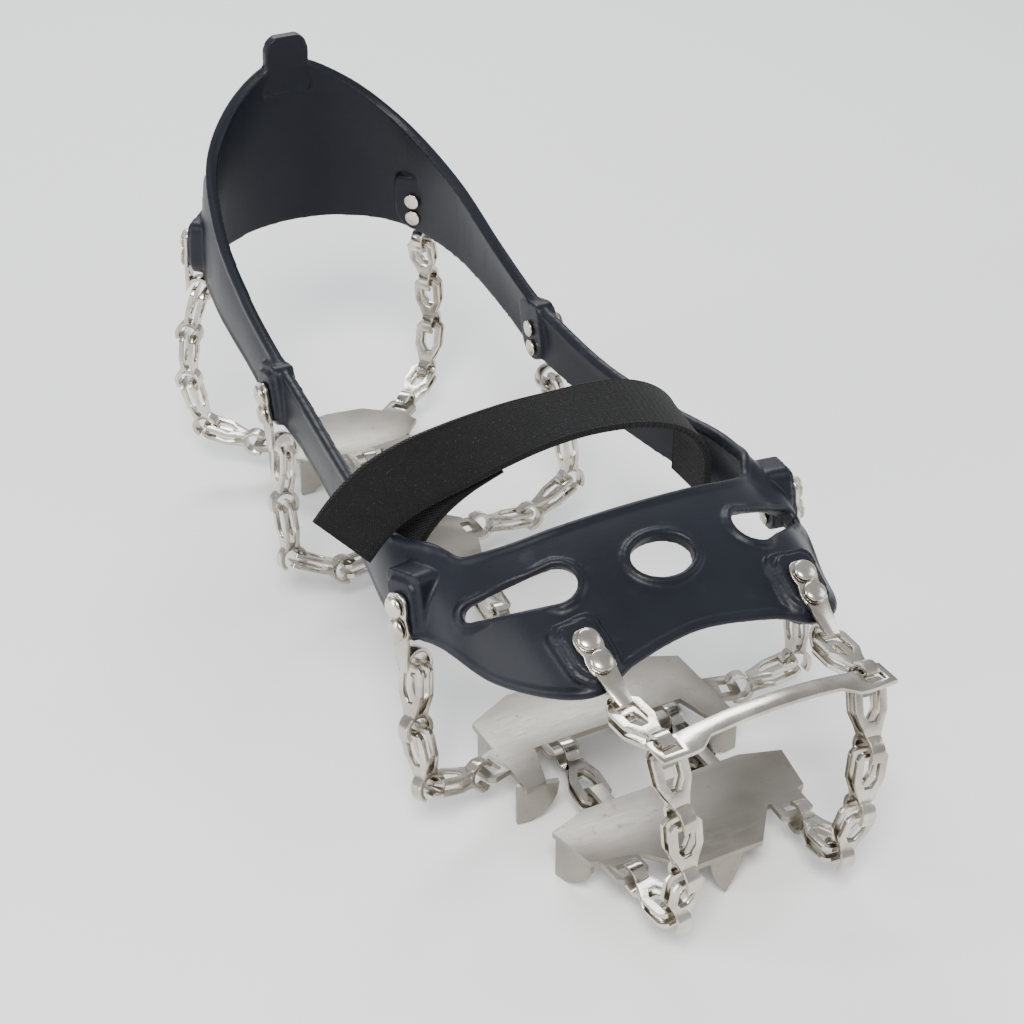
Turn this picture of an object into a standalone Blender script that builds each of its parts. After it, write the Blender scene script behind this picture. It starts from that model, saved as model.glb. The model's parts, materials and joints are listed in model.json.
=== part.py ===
"""Slip-on ice spikes for a walking boot: one unit of a pair, posed as it sits on the boot.

An elastomer harness rings the boot. Eight riveted clips on its lugs hold folded-link
chains, and the chains hold four toothed plates under the sole. A hook-and-loop strap
crosses the instep. The toe points along -Y, the heel along +Y, the sole is z = 0.
Every length here is in millimetres and becomes metres when a mesh is made.
"""

from math import atan2, cos, hypot, pi, radians, sin, sqrt

import bmesh
import bpy
from mathutils import Matrix, Vector

MM = 0.001                # metres in a millimetre
GAP = 0.3                 # clear space left between pieces that touch
SKIN = 0.04               # step that keeps two united faces from lying in one plane

# Boot that the unit is stretched over
BOOT_LENGTH = 300.0
BOOT_WIDTH = 112.0

# Elastomer harness
WALL = 3.2
LUG_WIDTH = 14.0
LUG_RAISE = 5.2           # lug face above the middle of the wall
LUG_BACK = 2.6            # lug back below the middle of the wall
LUG_TAIL = 7.6            # lug beyond its rivets, towards the chain
LUG_HEAD = 12.0           # lug behind its rivets
FRONT_INSET = 7.95        # front rivets behind the panel's front edge
CENTRE_HOLE = (18.0, 13.0)
SIDE_HOLE = (31.0, 12.5)

# Riveted clips
CLIP_GAUGE = 1.2
CLIP_WIDTH = 7.4
RIVET_PITCH = 6.4
RIVET_HEAD = 6.2
RIVET_DOME = 1.7
RIVET_SHANK = 3.0
RIVET_BACK = (5.4, 0.8)   # closing head: across, thick
RIVET_TO_EYE = 14.5

# Folded chain links
LINK_GAUGE = 1.3
LINK_PITCH = 18.5
LINK_WIDTH = 9.2
END_BAR = 2.2
NECK_WIDTH = 3.8
NECK_PLAY = 0.35          # slot beyond a neck, on each side
LEG_OFFSET = 1.65         # middle of each folded leaf from the link's middle plane
PIVOT_PLAY = 0.4          # bore beyond the corners of a folded end bar
BAR_REST = 0.7            # how far a pulled end bar sits past the middle of the bulb

# Plates and teeth
PLATE_GAUGE = 1.8
PLATE_TOP = -0.3
TOOTH_DROP = 14.0         # tooth tip below the plate's top
PLATE_BAR = 2.4
PLATE_BAR_REST = 1.3
EAR_WIDTH = 10.0
EAR_REACH = 11.0

# Toe bar
TOE_BAR_GAUGE = 1.2
TOE_BAR_RAIL = 1.1        # half depth of the rail that runs through the bulbs
TOE_BAR_LIP = 2.2
TOE_BAR_WAIST = 2.8       # how much narrower the bar is between its slots
TOE_BAR_RISE = 2.4
TOE_BAR_PLAY = 0.6        # slot beyond a link's neck, on each side
TOE_BAR_END = 2.0         # metal outside each slot
TOE_BAR_RAMP = (1.5, 6.5) # where the waist starts and is at full depth, in from the slots

# Strap
STRAP_WIDTH = 19.0
STRAP_GAUGE = 2.0

LINK_SLOT = NECK_WIDTH + 2 * NECK_PLAY
BULB_BORE = 2 * (hypot(LEG_OFFSET + LINK_GAUGE / 2, BAR_REST + END_BAR / 2) + PIVOT_PLAY)
PLATE_Z = PLATE_TOP - PLATE_GAUGE / 2
BULB_RADIUS = (BULB_BORE + LINK_GAUGE) / 2
ARC_STEPS = 7

STEEL = ("stainless_steel", (0.62, 0.60, 0.57), 0.25, 1.0)
PLATE_STEEL = ("plate_steel", (0.50, 0.47, 0.43), 0.42, 1.0)
RUBBER = ("navy_elastomer", (0.012, 0.016, 0.028), 0.45, 0.0)
WEBBING = ("black_webbing", (0.012, 0.012, 0.013), 0.85, 0.0)


# ---------------------------------------------------------------- helpers

def on_boot(across, along, height):
    """Point on the boot: shares of its half width and half length, and a height."""
    return Vector((across * BOOT_WIDTH / 2, along * BOOT_LENGTH / 2, height))


def flip(vector, side):
    """Mirror a right-hand vector to the wanted side: +1 right, -1 left."""
    return Vector((vector.x * side, vector.y, vector.z))


def axes_at(origin, x_axis, y_axis):
    """Placement whose X and Y axes are close to the two given, with lengths in metres."""
    x_axis = x_axis.normalized()
    z_axis = x_axis.cross(y_axis).normalized()
    y_axis = z_axis.cross(x_axis)
    turn = Matrix((x_axis, y_axis, z_axis)).transposed().to_4x4()
    return Matrix.Translation(origin * MM) @ turn


def material(spec):
    """One Principled material per finish."""
    name, colour, rough, metal = spec
    mat = bpy.data.materials.get(name)
    if mat is None:
        mat = bpy.data.materials.new(name)
        mat.use_nodes = True
        shader = mat.node_tree.nodes["Principled BSDF"]
        shader.inputs["Base Color"].default_value = (*colour, 1.0)
        shader.inputs["Roughness"].default_value = rough
        shader.inputs["Metallic"].default_value = metal
    return mat


def new_object(name, verts, faces, finish, placement=None):
    """Mesh object from millimetre points in its own axes, with its own material."""
    mesh = bpy.data.meshes.new(name)
    mesh.from_pydata([Vector(v) * MM for v in verts], [], faces)
    work = bmesh.new()
    work.from_mesh(mesh)
    bmesh.ops.recalc_face_normals(work, faces=work.faces)
    work.to_mesh(mesh)
    work.free()
    return place_mesh(name, mesh, finish, placement)


def place_mesh(name, mesh, finish, placement=None):
    """Object for a mesh at a placement, with a material of its own."""
    obj = bpy.data.objects.new(name, mesh)
    if placement is not None:
        obj.matrix_world = placement
    bpy.context.scene.collection.objects.link(obj)
    if finish is not None:
        own = material(finish).copy()
        own.name = name + "_finish"
        if not mesh.materials:
            mesh.materials.append(own)
        obj.material_slots[0].link = "OBJECT"
        obj.material_slots[0].material = own
    return obj


def prism(outline, low, high):
    """Verts and faces of an outline in XY, extruded from low to high in Z."""
    count = len(outline)
    verts = [(x, y, low) for x, y in outline] + [(x, y, high) for x, y in outline]
    faces = [tuple(reversed(range(count))), tuple(range(count, 2 * count))]
    for i in range(count):
        j = (i + 1) % count
        faces.append((i, j, count + j, count + i))
    return verts, faces


def on_edge(verts):
    """Points turned so that a prism's height runs along Y."""
    return [(x, z, -y) for x, y, z in verts]


def joined(parts):
    """Several (verts, faces, matrix) shapes as one list of verts and faces."""
    verts = []
    faces = []
    for part_verts, part_faces, matrix in parts:
        base = len(verts)
        verts += [matrix @ Vector(v) for v in part_verts]
        faces += [tuple(base + i for i in face) for face in part_faces]
    return verts, faces


def millimetres(placement):
    """A placement in metres as one in millimetres, for points not yet scaled."""
    matrix = placement.copy()
    matrix.translation = placement.translation / MM
    return matrix


def boolean(obj, other, operation):
    """Live exact boolean with a hidden partner."""
    other.hide_render = True
    other.display_type = "WIRE"
    cut = obj.modifiers.new(operation.lower(), "BOOLEAN")
    cut.operation = operation
    cut.solver = "EXACT"
    cut.object = other
    if operation == "UNION":
        cut.use_self = True


def baked(obj):
    """Mesh of an object after its modifiers; the object and its partners are removed."""
    partners = [m.object for m in obj.modifiers if m.type == "BOOLEAN"]
    graph = bpy.context.evaluated_depsgraph_get()
    mesh = bpy.data.meshes.new_from_object(obj.evaluated_get(graph))
    for unwanted in partners + [obj]:
        bpy.data.objects.remove(unwanted)
    return mesh


def spline(points, closed, steps):
    """Smooth curve through the points, with a number of steps between each two."""
    count = len(points)
    spans = count if closed else count - 1
    result = []
    for i in range(spans):
        if closed:
            a, b, c, d = (points[(i + k) % count] for k in (-1, 0, 1, 2))
        else:
            a, b, c, d = (points[min(max(i + k, 0), count - 1)] for k in (-1, 0, 1, 2))
        for step in range(steps):
            t = step / steps
            result.append(0.5 * (2 * b + (c - a) * t + (2 * a - 5 * b + 4 * c - d) * t * t
                                 + (3 * b - a - 3 * c + d) * t ** 3))
    if not closed:
        result.append(points[-1].copy())
    return result


# ---------------------------------------------------------------- harness

# Ribs from the toe centre round the right side to the heel centre. Each gives its
# lower and upper end as shares of the boot and a height, and how far it bows out.
RIBS = (
    ((0.000, -0.753, 59.5), (0.000, -0.507, 75.0), 2.0),
    ((0.380, -0.775, 58.0), (0.360, -0.503, 74.0), 2.0),
    ((0.563, -0.800, 55.5), (0.550, -0.490, 71.5), 2.0),
    ((0.720, -0.765, 53.5), (0.680, -0.470, 69.0), 2.2),
    ((0.880, -0.640, 49.5), (0.790, -0.435, 66.0), 2.4),
    ((0.985, -0.530, 51.5), (0.868, -0.385, 67.5), 2.0),
    ((1.030, -0.440, 48.0), (0.920, -0.320, 65.0), 1.6),
    ((1.015, -0.340, 46.0), (0.940, -0.240, 63.5), 1.2),
    ((0.940, -0.190, 45.5), (0.895, -0.100, 62.0), 1.0),
    ((0.850, 0.040, 46.0), (0.830, 0.100, 62.0), 1.0),
    ((0.805, 0.230, 48.5), (0.795, 0.280, 65.5), 1.0),
    ((0.800, 0.370, 50.0), (0.785, 0.390, 68.5), 1.0),
    ((0.795, 0.530, 56.5), (0.777, 0.550, 77.0), 1.0),
    ((0.765, 0.730, 62.0), (0.740, 0.720, 90.0), 1.2),
    ((0.640, 0.920, 64.0), (0.600, 0.880, 104.0), 1.6),
    ((0.350, 1.008, 65.5), (0.330, 0.965, 118.0), 1.8),
    ((0.000, 1.035, 66.0), (0.000, 0.990, 126.0), 2.0),
)
RIB_STEPS = 2
ROWS = 4


def ring_columns():
    """Lower ends, upper ends and bows of every rib round the whole ring."""
    right = [(on_boot(*low), on_boot(*high), bow) for low, high, bow in RIBS]
    left = [(flip(low, -1), flip(high, -1), bow) for low, high, bow in right[-2:0:-1]]
    ring = right + left
    lows = spline([r[0] for r in ring], True, RIB_STEPS)
    highs = spline([r[1] for r in ring], True, RIB_STEPS)
    bows = spline([Vector((r[2], 0, 0)) for r in ring], True, RIB_STEPS)
    return lows, highs, [b.x for b in bows]


def harness_grid():
    """Middle surface of the wall and its outward normals, by column and row."""
    lows, highs, bows = ring_columns()
    count = len(lows)
    flat = [[low.lerp(high, row / ROWS) for row in range(ROWS + 1)]
            for low, high in zip(lows, highs)]
    grid = []
    for c in range(count):
        ahead = flat[(c + 1) % count]
        behind = flat[(c - 1) % count]
        column = []
        for row in range(ROWS + 1):
            share = row / ROWS
            along = ahead[row] - behind[row]
            out = along.cross(highs[c] - lows[c]).normalized()
            column.append(flat[c][row] + out * bows[c] * 4 * share * (1 - share))
        grid.append(column)
    normals = []
    for c in range(count):
        column = []
        for row in range(ROWS + 1):
            along = grid[(c + 1) % count][row] - grid[(c - 1) % count][row]
            up = grid[c][min(row + 1, ROWS)] - grid[c][max(row - 1, 0)]
            column.append(along.cross(up).normalized())
        normals.append(column)
    return grid, normals


def harness_shell():
    """Closed wall of the harness ring."""
    grid, normals = harness_grid()
    count = len(grid)
    rows = ROWS + 1
    verts = []
    for side in (1, -1):
        for c in range(count):
            for row in range(rows):
                verts.append(grid[c][row] + normals[c][row] * side * WALL / 2)
    half = count * rows

    def at(side, c, row):
        return side * half + (c % count) * rows + row

    faces = []
    for c in range(count):
        for row in range(ROWS):
            faces.append((at(0, c, row), at(0, c + 1, row), at(0, c + 1, row + 1), at(0, c, row + 1)))
            faces.append((at(1, c, row), at(1, c, row + 1), at(1, c + 1, row + 1), at(1, c + 1, row)))
        faces.append((at(0, c, 0), at(1, c, 0), at(1, c + 1, 0), at(0, c + 1, 0)))
        faces.append((at(0, c, ROWS), at(0, c + 1, ROWS), at(1, c + 1, ROWS), at(1, c, ROWS)))
    return verts, faces


# Lugs on the right: rivet middle, direction to the chain, outward direction.
LUGS = {
    "front": (on_boot(0.563, -0.800, 59.0) + Vector((0, FRONT_INSET, 0)), Vector((-0.08, -0.88, -0.46)),
              Vector((0.05, -0.46, 0.88))),
    "ball": (on_boot(1.005, -0.430, 54.0), Vector((0.02, -0.22, -0.97)), Vector((0.96, -0.22, 0.20))),
    "arch": (on_boot(0.800, 0.360, 55.5), Vector((0.0, -0.25, -0.97)), Vector((1.0, -0.02, 0.03))),
    "rear": (on_boot(0.690, 0.880, 72.0), Vector((0.06, 0.06, -0.99)), Vector((0.78, 0.62, 0.10))),
}
CLIP_PLANE = LUG_RAISE + GAP + CLIP_GAUGE / 2
EYE_RADIUS = (BULB_BORE + CLIP_GAUGE) / 2


def lug_frame(name, side):
    """Placement at a lug's rivets: X to the chain, Y outwards."""
    centre, down, out = LUGS[name]
    return axes_at(flip(centre, side), flip(down, side), flip(out, side))


def eye_of(name, side):
    """Middle of the clip's eye, where the chain's first link turns."""
    frame = millimetres(lug_frame(name, side))
    return frame @ Vector((RIVET_TO_EYE, CLIP_PLANE - EYE_RADIUS, 0.0))


def lug_pad():
    """Rounded pad of one lug in its own axes, from under the wall to the raised face."""
    radius = LUG_WIDTH / 2
    tail = LUG_TAIL - radius
    outline = [(tail + radius * cos(a), radius * sin(a))
               for a in [radians(-90 + 30 * i) for i in range(7)]]
    outline += [(-LUG_HEAD, radius), (-LUG_HEAD, -radius)]
    verts, faces = prism(outline, -LUG_BACK, LUG_RAISE)
    return on_edge(verts), faces


def oval(length, width, tip):
    """Outline of a hole: a round big end and a small end whose size is a share of it."""
    big = width / 2
    small = big * tip
    reach = length / 2
    points = []
    for i in range(7):
        a = radians(-90 + 30 * i)
        points.append((reach - small + small * cos(a), small * sin(a)))
    for i in range(7):
        a = radians(90 + 30 * i)
        points.append((-reach + big + big * cos(a), big * sin(a)))
    return points


def hole_cutters():
    """Cutters for the three panel holes, through the wall from outside."""
    deep = 9.0
    shapes = []
    centre = on_boot(0.0, -0.625, 69.0)
    verts, faces = prism(oval(*CENTRE_HOLE, 1.0), -deep, deep)
    shapes.append((verts, faces, millimetres(axes_at(centre, Vector((1, 0, 0)), Vector((0, 0.93, 0.37))))))
    for side in (1, -1):
        spot = flip(on_boot(0.655, -0.575, 63.5), side)
        verts, faces = prism(oval(*SIDE_HOLE, 0.5), -deep, deep)
        run = flip(Vector((0.86, 0.40, -0.33)), side)
        shapes.append((verts, faces, millimetres(axes_at(spot, run, Vector((0, 0.93, 0.37))))))
    return shapes


def rivet_spots():
    """Rivet middles along the lug, measured from the middle of the pair."""
    return (-RIVET_PITCH / 2, RIVET_PITCH / 2)


def bore_cutters():
    """Cutters for the rivet holes through every lug, with room for the closing heads."""
    shapes = []
    bore = RIVET_SHANK / 2 + GAP
    seat = RIVET_BACK[0] / 2 + GAP
    verts, faces = lathe([(0, -9), (seat, -9), (seat, -LUG_BACK), (bore, -LUG_BACK),
                          (bore, LUG_RAISE + 1), (0, LUG_RAISE + 1)], 10)
    for name in LUGS:
        for side in (1, -1):
            frame = millimetres(lug_frame(name, side))
            for spot in rivet_spots():
                shapes.append((verts, faces, frame @ Matrix.Translation((spot, 0, 0))))
    return shapes


def make_harness():
    """Harness: ring wall, eight lugs, three panel holes, sixteen rivet holes and a heel tab."""
    verts, faces = harness_shell()
    harness = new_object("harness", verts, faces, RUBBER)
    pads = [(*lug_pad(), millimetres(lug_frame(name, side))) for name in LUGS for side in (1, -1)]
    pads.append(heel_tab())
    boolean(harness, new_object("lug_pads", *joined(pads), None), "UNION")
    cuts = hole_cutters() + bore_cutters()
    boolean(harness, new_object("harness_cuts", *joined(cuts), None), "DIFFERENCE")


def heel_tab():
    """Pull tab standing up from the heel centre."""
    outline = [(-8.0, -9.0), (8.0, -9.0), (7.5, 8.0), (4.0, 11.0), (-4.0, 11.0), (-7.5, 8.0)]
    verts, faces = prism(outline, -1.9, 1.9)
    foot = on_boot(0.0, 0.992, 124.0)
    return verts, faces, millimetres(axes_at(foot, Vector((-1, 0, 0)), Vector((0, -0.08, 1))))


# ---------------------------------------------------------------- folded strips

def arc_path(radius, first, last, steps):
    """Points round the origin, on the polygon that leaves the full bore clear."""
    swing = (last - first) / steps
    reach = radius / cos(abs(swing) / 2)
    points = [(radius * cos(first), radius * sin(first))]
    for i in range(steps):
        turn = first + swing * (i + 0.5)
        points.append((reach * cos(turn), reach * sin(turn)))
    return points + [(radius * cos(last), radius * sin(last))]


def edge_lines(path, gauge):
    """The two lines at half a gauge on either side of a path in XY, mitred at its corners."""
    lines = ([], [])
    last = len(path) - 1
    for i, (x, y) in enumerate(path):
        into = Vector((x - path[max(i - 1, 0)][0], y - path[max(i - 1, 0)][1]))
        out = Vector((path[min(i + 1, last)][0] - x, path[min(i + 1, last)][1] - y))
        into = into.normalized() if i else out.normalized()
        out = out.normalized() if i < last else into
        run = (into + out).normalized()
        half = gauge / 2 / max(run.dot(into), 0.6)
        lines[0].append((x - run.y * half, y + run.x * half))
        lines[1].append((x + run.y * half, y - run.x * half))
    return lines


def bent_strip(path, gauge, width):
    """Strip bent along a path in XY, its width along Z, as verts and faces."""
    lines = edge_lines(path, gauge)
    count = len(path)
    verts = [(x, y, z) for z in (-width / 2, width / 2) for line in lines for x, y in line]
    faces = []
    for i in range(count - 1):
        a, b, c, d = i, count + i, 2 * count + i, 3 * count + i
        faces += [(a, a + 1, b + 1, b), (c, d, d + 1, c + 1),
                  (a, c, c + 1, a + 1), (b, b + 1, d + 1, d)]
    for i in (0, count - 1):
        faces.append((i, count + i, 3 * count + i, 2 * count + i))
    return verts, faces


def link_mesh():
    """One folded link. X runs from its first pivot to the middle of its bulb, Z is its width."""
    start = BAR_REST - END_BAR / 2
    half = LINK_WIDTH / 2
    slot = LINK_SLOT / 2
    neck = NECK_WIDTH / 2
    enter = atan2(LEG_OFFSET, -sqrt(BULB_RADIUS ** 2 - LEG_OFFSET ** 2))
    bulb = [(LINK_PITCH + x, y) for x, y in arc_path(BULB_RADIUS, enter, -enter, ARC_STEPS)]
    leaf_end = bulb[0][0]
    shoulder = leaf_end - (half - neck)
    slot_end = shoulder - 0.6
    chamfer = half * 0.38
    outline = [(start, half - chamfer), (start + chamfer, half), (start + END_BAR, half),
               (slot_end, half), (shoulder, half)]
    window = [(start + END_BAR, slot), (slot_end, slot), (slot_end, -slot), (start + END_BAR, -slot)]
    verts = []
    faces = []

    def add(points, y):
        verts.extend((x, y, z) for x, z in points)
        return list(range(len(verts) - len(points), len(verts)))

    legs = []
    for leg in (1, -1):
        skins = []
        for skin in (1, -1):
            y = leg * LEG_OFFSET + skin * LINK_GAUGE / 2
            up = add(outline, y)
            down = add([(x, -z) for x, z in outline], y)
            hole = add(window, y)
            skins.append((up, down, hole))
            faces.append((up[0], up[1], up[2], hole[0], hole[3], down[2], down[1], down[0]))
            faces.append((up[2], up[3], hole[1], hole[0]))
            faces.append((down[2], down[3], hole[2], hole[3]))
        (up_a, down_a, hole_a), (up_b, down_b, hole_b) = skins
        for i in range(4):
            j = (i + 1) % 4
            faces.append((up_a[i], up_a[i + 1], up_b[i + 1], up_b[i]))
            faces.append((down_a[i], down_a[i + 1], down_b[i + 1], down_b[i]))
            faces.append((hole_a[i], hole_a[j], hole_b[j], hole_b[i]))
        faces.append((up_a[0], down_a[0], down_b[0], up_b[0]))
        legs.append(skins)

    lines = edge_lines([(leaf_end - 1, LEG_OFFSET)] + bulb + [(leaf_end - 1, -LEG_OFFSET)], LINK_GAUGE)
    rings = []
    for i in range(1, len(bulb) + 1):
        ends = [lines[0][i], lines[1][i]]
        if i == 1:
            ends = [(leaf_end, LEG_OFFSET + LINK_GAUGE / 2), (leaf_end, LEG_OFFSET - LINK_GAUGE / 2)]
        if i == len(bulb):
            ends = [(leaf_end, -LEG_OFFSET - LINK_GAUGE / 2), (leaf_end, -LEG_OFFSET + LINK_GAUGE / 2)]
        ring = []
        for x, y in ends:
            ring += add([(x, neck), (x, -neck)], y)
        rings.append(ring)
    for a, b in zip(rings, rings[1:]):
        for p, q in ((0, 1), (1, 3), (3, 2), (2, 0)):
            faces.append((a[p], a[q], b[q], b[p]))
    for leg, ring in ((0, rings[0]), (1, rings[-1])):
        for skin in (0, 1):
            up, down, hole = legs[leg][skin]
            pair = 0 if leg == skin else 2
            faces.append((up[3], up[4], ring[pair], ring[pair + 1], down[4], down[3], hole[2], hole[1]))
        (up_a, down_a, _), (up_b, down_b, _) = legs[leg]
        pair = 0 if leg == 0 else 2
        faces.append((up_a[4], up_b[4], ring[2 - pair], ring[pair]))
        faces.append((down_a[4], down_b[4], ring[3 - pair], ring[pair + 1]))
    return verts, faces


def hook_path(start, reach, radius):
    """Path of a strip that runs out to reach and curls down round an eye below it."""
    arc = arc_path(radius, radians(90), radians(-195), ARC_STEPS)
    return [(start, 0.0)] + [(reach + x, y - radius) for x, y in arc]


# ---------------------------------------------------------------- clips

def lathe(profile, count):
    """Solid turned about Y from (radius, y) points that start and end on the axis."""
    verts = [(0.0, profile[0][1], 0.0), (0.0, profile[-1][1], 0.0)]
    inner = profile[1:-1]
    for radius, y in inner:
        verts += [(radius * cos(2 * pi * i / count), y, radius * sin(2 * pi * i / count))
                  for i in range(count)]
    faces = []
    for i in range(count):
        j = (i + 1) % count
        faces.append((0, 2 + i, 2 + j))
        top = 2 + (len(inner) - 1) * count
        faces.append((1, top + j, top + i))
        for k in range(len(inner) - 1):
            base = 2 + k * count
            faces.append((base + i, base + count + i, base + count + j, base + j))
    return verts, faces


def rivet():
    """Rivet through clip and lug, along Y: dome outside, closing head inside."""
    top = CLIP_PLANE + CLIP_GAUGE / 2
    back, thick = RIVET_BACK
    low = -LUG_BACK - GAP
    head = RIVET_HEAD / 2
    return lathe([(0, low - thick), (back / 2, low - thick), (back / 2, low), (RIVET_SHANK / 2, low),
                  (RIVET_SHANK / 2, CLIP_PLANE), (head, CLIP_PLANE), (head, top + RIVET_DOME * 0.3),
                  (head * 0.62, top + RIVET_DOME * 0.85), (0, top + RIVET_DOME)], 10)


def clip_mesh():
    """Clip in its lug's axes: face plate, hooked neck and two rivets in one piece."""
    half = CLIP_WIDTH / 2
    reach = RIVET_PITCH / 2 + half
    outline = [(-reach, -half * 0.5), (-reach + half * 0.5, -half), (reach - half * 0.5, -half),
               (reach, -half * 0.5), (reach, half * 0.5), (reach - half * 0.5, half),
               (-reach + half * 0.5, half), (-reach, half * 0.5)]
    verts, faces = prism(outline, CLIP_PLANE - CLIP_GAUGE / 2, CLIP_PLANE + CLIP_GAUGE / 2)
    clip = new_object("clip_work", on_edge(verts), faces, None)
    hook = bent_strip(hook_path(2.0, RIVET_TO_EYE, EYE_RADIUS), CLIP_GAUGE * 0.98, NECK_WIDTH)
    shapes = [(*hook, Matrix.Translation((0, CLIP_PLANE, 0)))]
    shapes += [(*rivet(), Matrix.Translation((spot, 0, 0))) for spot in rivet_spots()]
    boolean(clip, new_object("clip_parts", *joined(shapes), None), "UNION")
    return baked(clip)


# ---------------------------------------------------------------- chains

# Links in each hanging chain, how its turning is shared between its links, and how far
# in under the sole its far end lies as a share of the chain's spare length.
CHAINS = {
    "front": (5, (1.0, 0.25, 0.25, 1.0), -0.09),
    "ball": (3, (0.2, 1.0), 1.0),
    "arch": (4, (0.15, 1.0, 0.5), 1.0),
    "rear": (4, (0.2, 0.35, 1.0), 1.0),
}
SPINE_STRETCH = 0.994     # span of a spine chain as a share of its full length


def lay_chain(start, end, outward, count, turns):
    """Pivots of a chain of equal links from start to end that bows outward."""
    chord = end - start
    ahead = chord.normalized()
    aside = (outward - ahead * outward.dot(ahead)).normalized()
    sums = [sum(turns[:i]) for i in range(count)]

    def directions(scale):
        x = sum(cos(scale * s) for s in sums)
        y = -sum(sin(scale * s) for s in sums)
        lean = -atan2(y, x)
        return hypot(x, y), [lean - scale * s for s in sums]

    low, high = 0.0, pi / max(turns, default=1.0)
    for _ in range(60):
        middle = (low + high) / 2
        if directions(middle)[0] * LINK_PITCH > chord.length:
            low = middle
        else:
            high = middle
    pivots = [start.copy()]
    for angle in directions(low)[1]:
        pivots.append(pivots[-1] + (ahead * cos(angle) + aside * sin(angle)) * LINK_PITCH)
    return pivots, aside


def inward(name, side):
    """Level direction in which a lug's chain travels in under the sole."""
    frame = lug_frame(name, side).to_3x3()
    level = frame.col[2].cross(Vector((0, 0, 1))).normalized()
    return -level if level.dot(frame.col[1]) > 0 else level


def hung_chain(name, side):
    """Pivots and outward direction of the chain that hangs from a lug, in the lug's plane."""
    count, turns, under = CHAINS[name]
    frame = lug_frame(name, side).to_3x3()
    start = eye_of(name, side)
    travel = inward(name, side)
    down = frame.col[2].cross(travel).normalized()
    down = down if down.z < 0 else -down
    drop = start.z - PLATE_Z
    end = start + down * (drop / -down.z) + travel * under * (count * LINK_PITCH - drop)
    return lay_chain(start, end, frame.col[1], count, turns)


def landing(name, side=1):
    """Where a hung chain meets its plate: pivot and level direction of travel."""
    return hung_chain(name, side)[0][-1], inward(name, side)


def make_chain(prefix, pivots, outward, mesh):
    """One object for each link, its origin on the pivot that it turns on."""
    single = len(pivots) == 2
    for i in range(len(pivots) - 1):
        name = prefix if single else f"{prefix}_{i + 1}"
        frame = axes_at(pivots[i], pivots[i + 1] - pivots[i], outward)
        place_mesh(name, mesh, STEEL, frame)


# ---------------------------------------------------------------- plates

def ear(pivot, travel):
    """Ear prism and slot cutter where a bulb goes round a plate's edge."""
    frame = millimetres(axes_at(Vector((pivot.x, pivot.y, PLATE_Z)), travel, Vector((0, 0, 1))))
    low = PLATE_BAR_REST - PLATE_BAR / 2
    half = EAR_WIDTH / 2
    outline = [(low, -half + 1.5), (low + 1.5, -half), (EAR_REACH, -half),
               (EAR_REACH, half), (low + 1.5, half), (low, half - 1.5)]
    half_gauge = PLATE_GAUGE / 2 - SKIN
    solid, solid_faces = prism(outline, -half_gauge, half_gauge)
    near = PLATE_BAR_REST + PLATE_BAR / 2
    far = BULB_RADIUS + LINK_GAUGE / 2 + 1.2
    gap = NECK_WIDTH / 2 + 0.9
    cut, cut_faces = prism([(near, -gap), (far, -gap), (far, gap), (near, gap)], -3.0, 3.0)
    return (on_edge(solid), solid_faces, frame), (on_edge(cut), cut_faces, frame)


def plate_hook(edge):
    """Hooked tab that leaves a plate's rear edge at a point and curls down."""
    radius = (BULB_BORE + PLATE_GAUGE) / 2
    frame = millimetres(axes_at(Vector((edge.x, edge.y, PLATE_Z)), Vector((0, 1, 0)), Vector((0, 0, 1))))
    return (*bent_strip(hook_path(-5.0, radius + 1.0, radius), PLATE_GAUGE * 0.98, NECK_WIDTH), frame)


def hook_eye(edge):
    """Pivot in the eye of a hooked tab."""
    radius = (BULB_BORE + PLATE_GAUGE) / 2
    return Vector((edge.x, edge.y + radius + 1.0, PLATE_Z - radius))


def tooth(kind, width, spot, heading):
    """Bent-down tooth under a plate: a leaf or a one-sided fin, its width along a heading."""
    drop = TOOTH_DROP - PLATE_GAUGE / 2
    steps = 5
    if kind == "leaf":
        curve = [(width / 2 * (1 - (i / steps) ** 1.7), -drop * i / steps) for i in range(steps + 1)]
        outline = curve + [(-x, y) for x, y in curve[-2::-1]]
    else:
        outline = [(0.0, 0.0)] + [(width * cos(pi / 2 * i / steps), -drop * sin(pi / 2 * i / steps))
                                  for i in range(steps + 1)]
        outline = [(x - width / 2, y) for x, y in outline]
    solid, faces = prism(outline, -PLATE_GAUGE / 2, PLATE_GAUGE / 2)
    frame = axes_at(Vector((spot[0], spot[1], PLATE_Z)), Vector((*heading, 0)), Vector((0, 0, 1)))
    return solid, faces, millimetres(frame)


def mirrored(points):
    """Outline of a plate from its right half, listed from the front centre to the rear."""
    return points + [(-x, y) for x, y in reversed(points) if x > 0]


def both_sides(kind, width, spot, heading):
    """A tooth and its mirror twin."""
    twin = (-spot[0], spot[1])
    return [tooth(kind, width, spot, heading), tooth(kind, width, twin, (-heading[0], heading[1]))]


def make_plate(name, half_outline, ears, hooks, teeth):
    """Flat plate with its ears, hooked tabs and teeth united and its slots cut."""
    body = prism(mirrored(half_outline), PLATE_TOP - PLATE_GAUGE, PLATE_TOP)
    plate = new_object(name, *body, PLATE_STEEL)
    pairs = [ear(*e) for e in ears]
    shapes = [solid for solid, _ in pairs] + [plate_hook(h) for h in hooks] + teeth
    for i, shape in enumerate(shapes):
        boolean(plate, new_object(f"{name}_tab_{i + 1}", *joined([shape]), None), "UNION")
    boolean(plate, new_object(name + "_slots", *joined([cut for _, cut in pairs]), None), "DIFFERENCE")
    return plate


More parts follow.
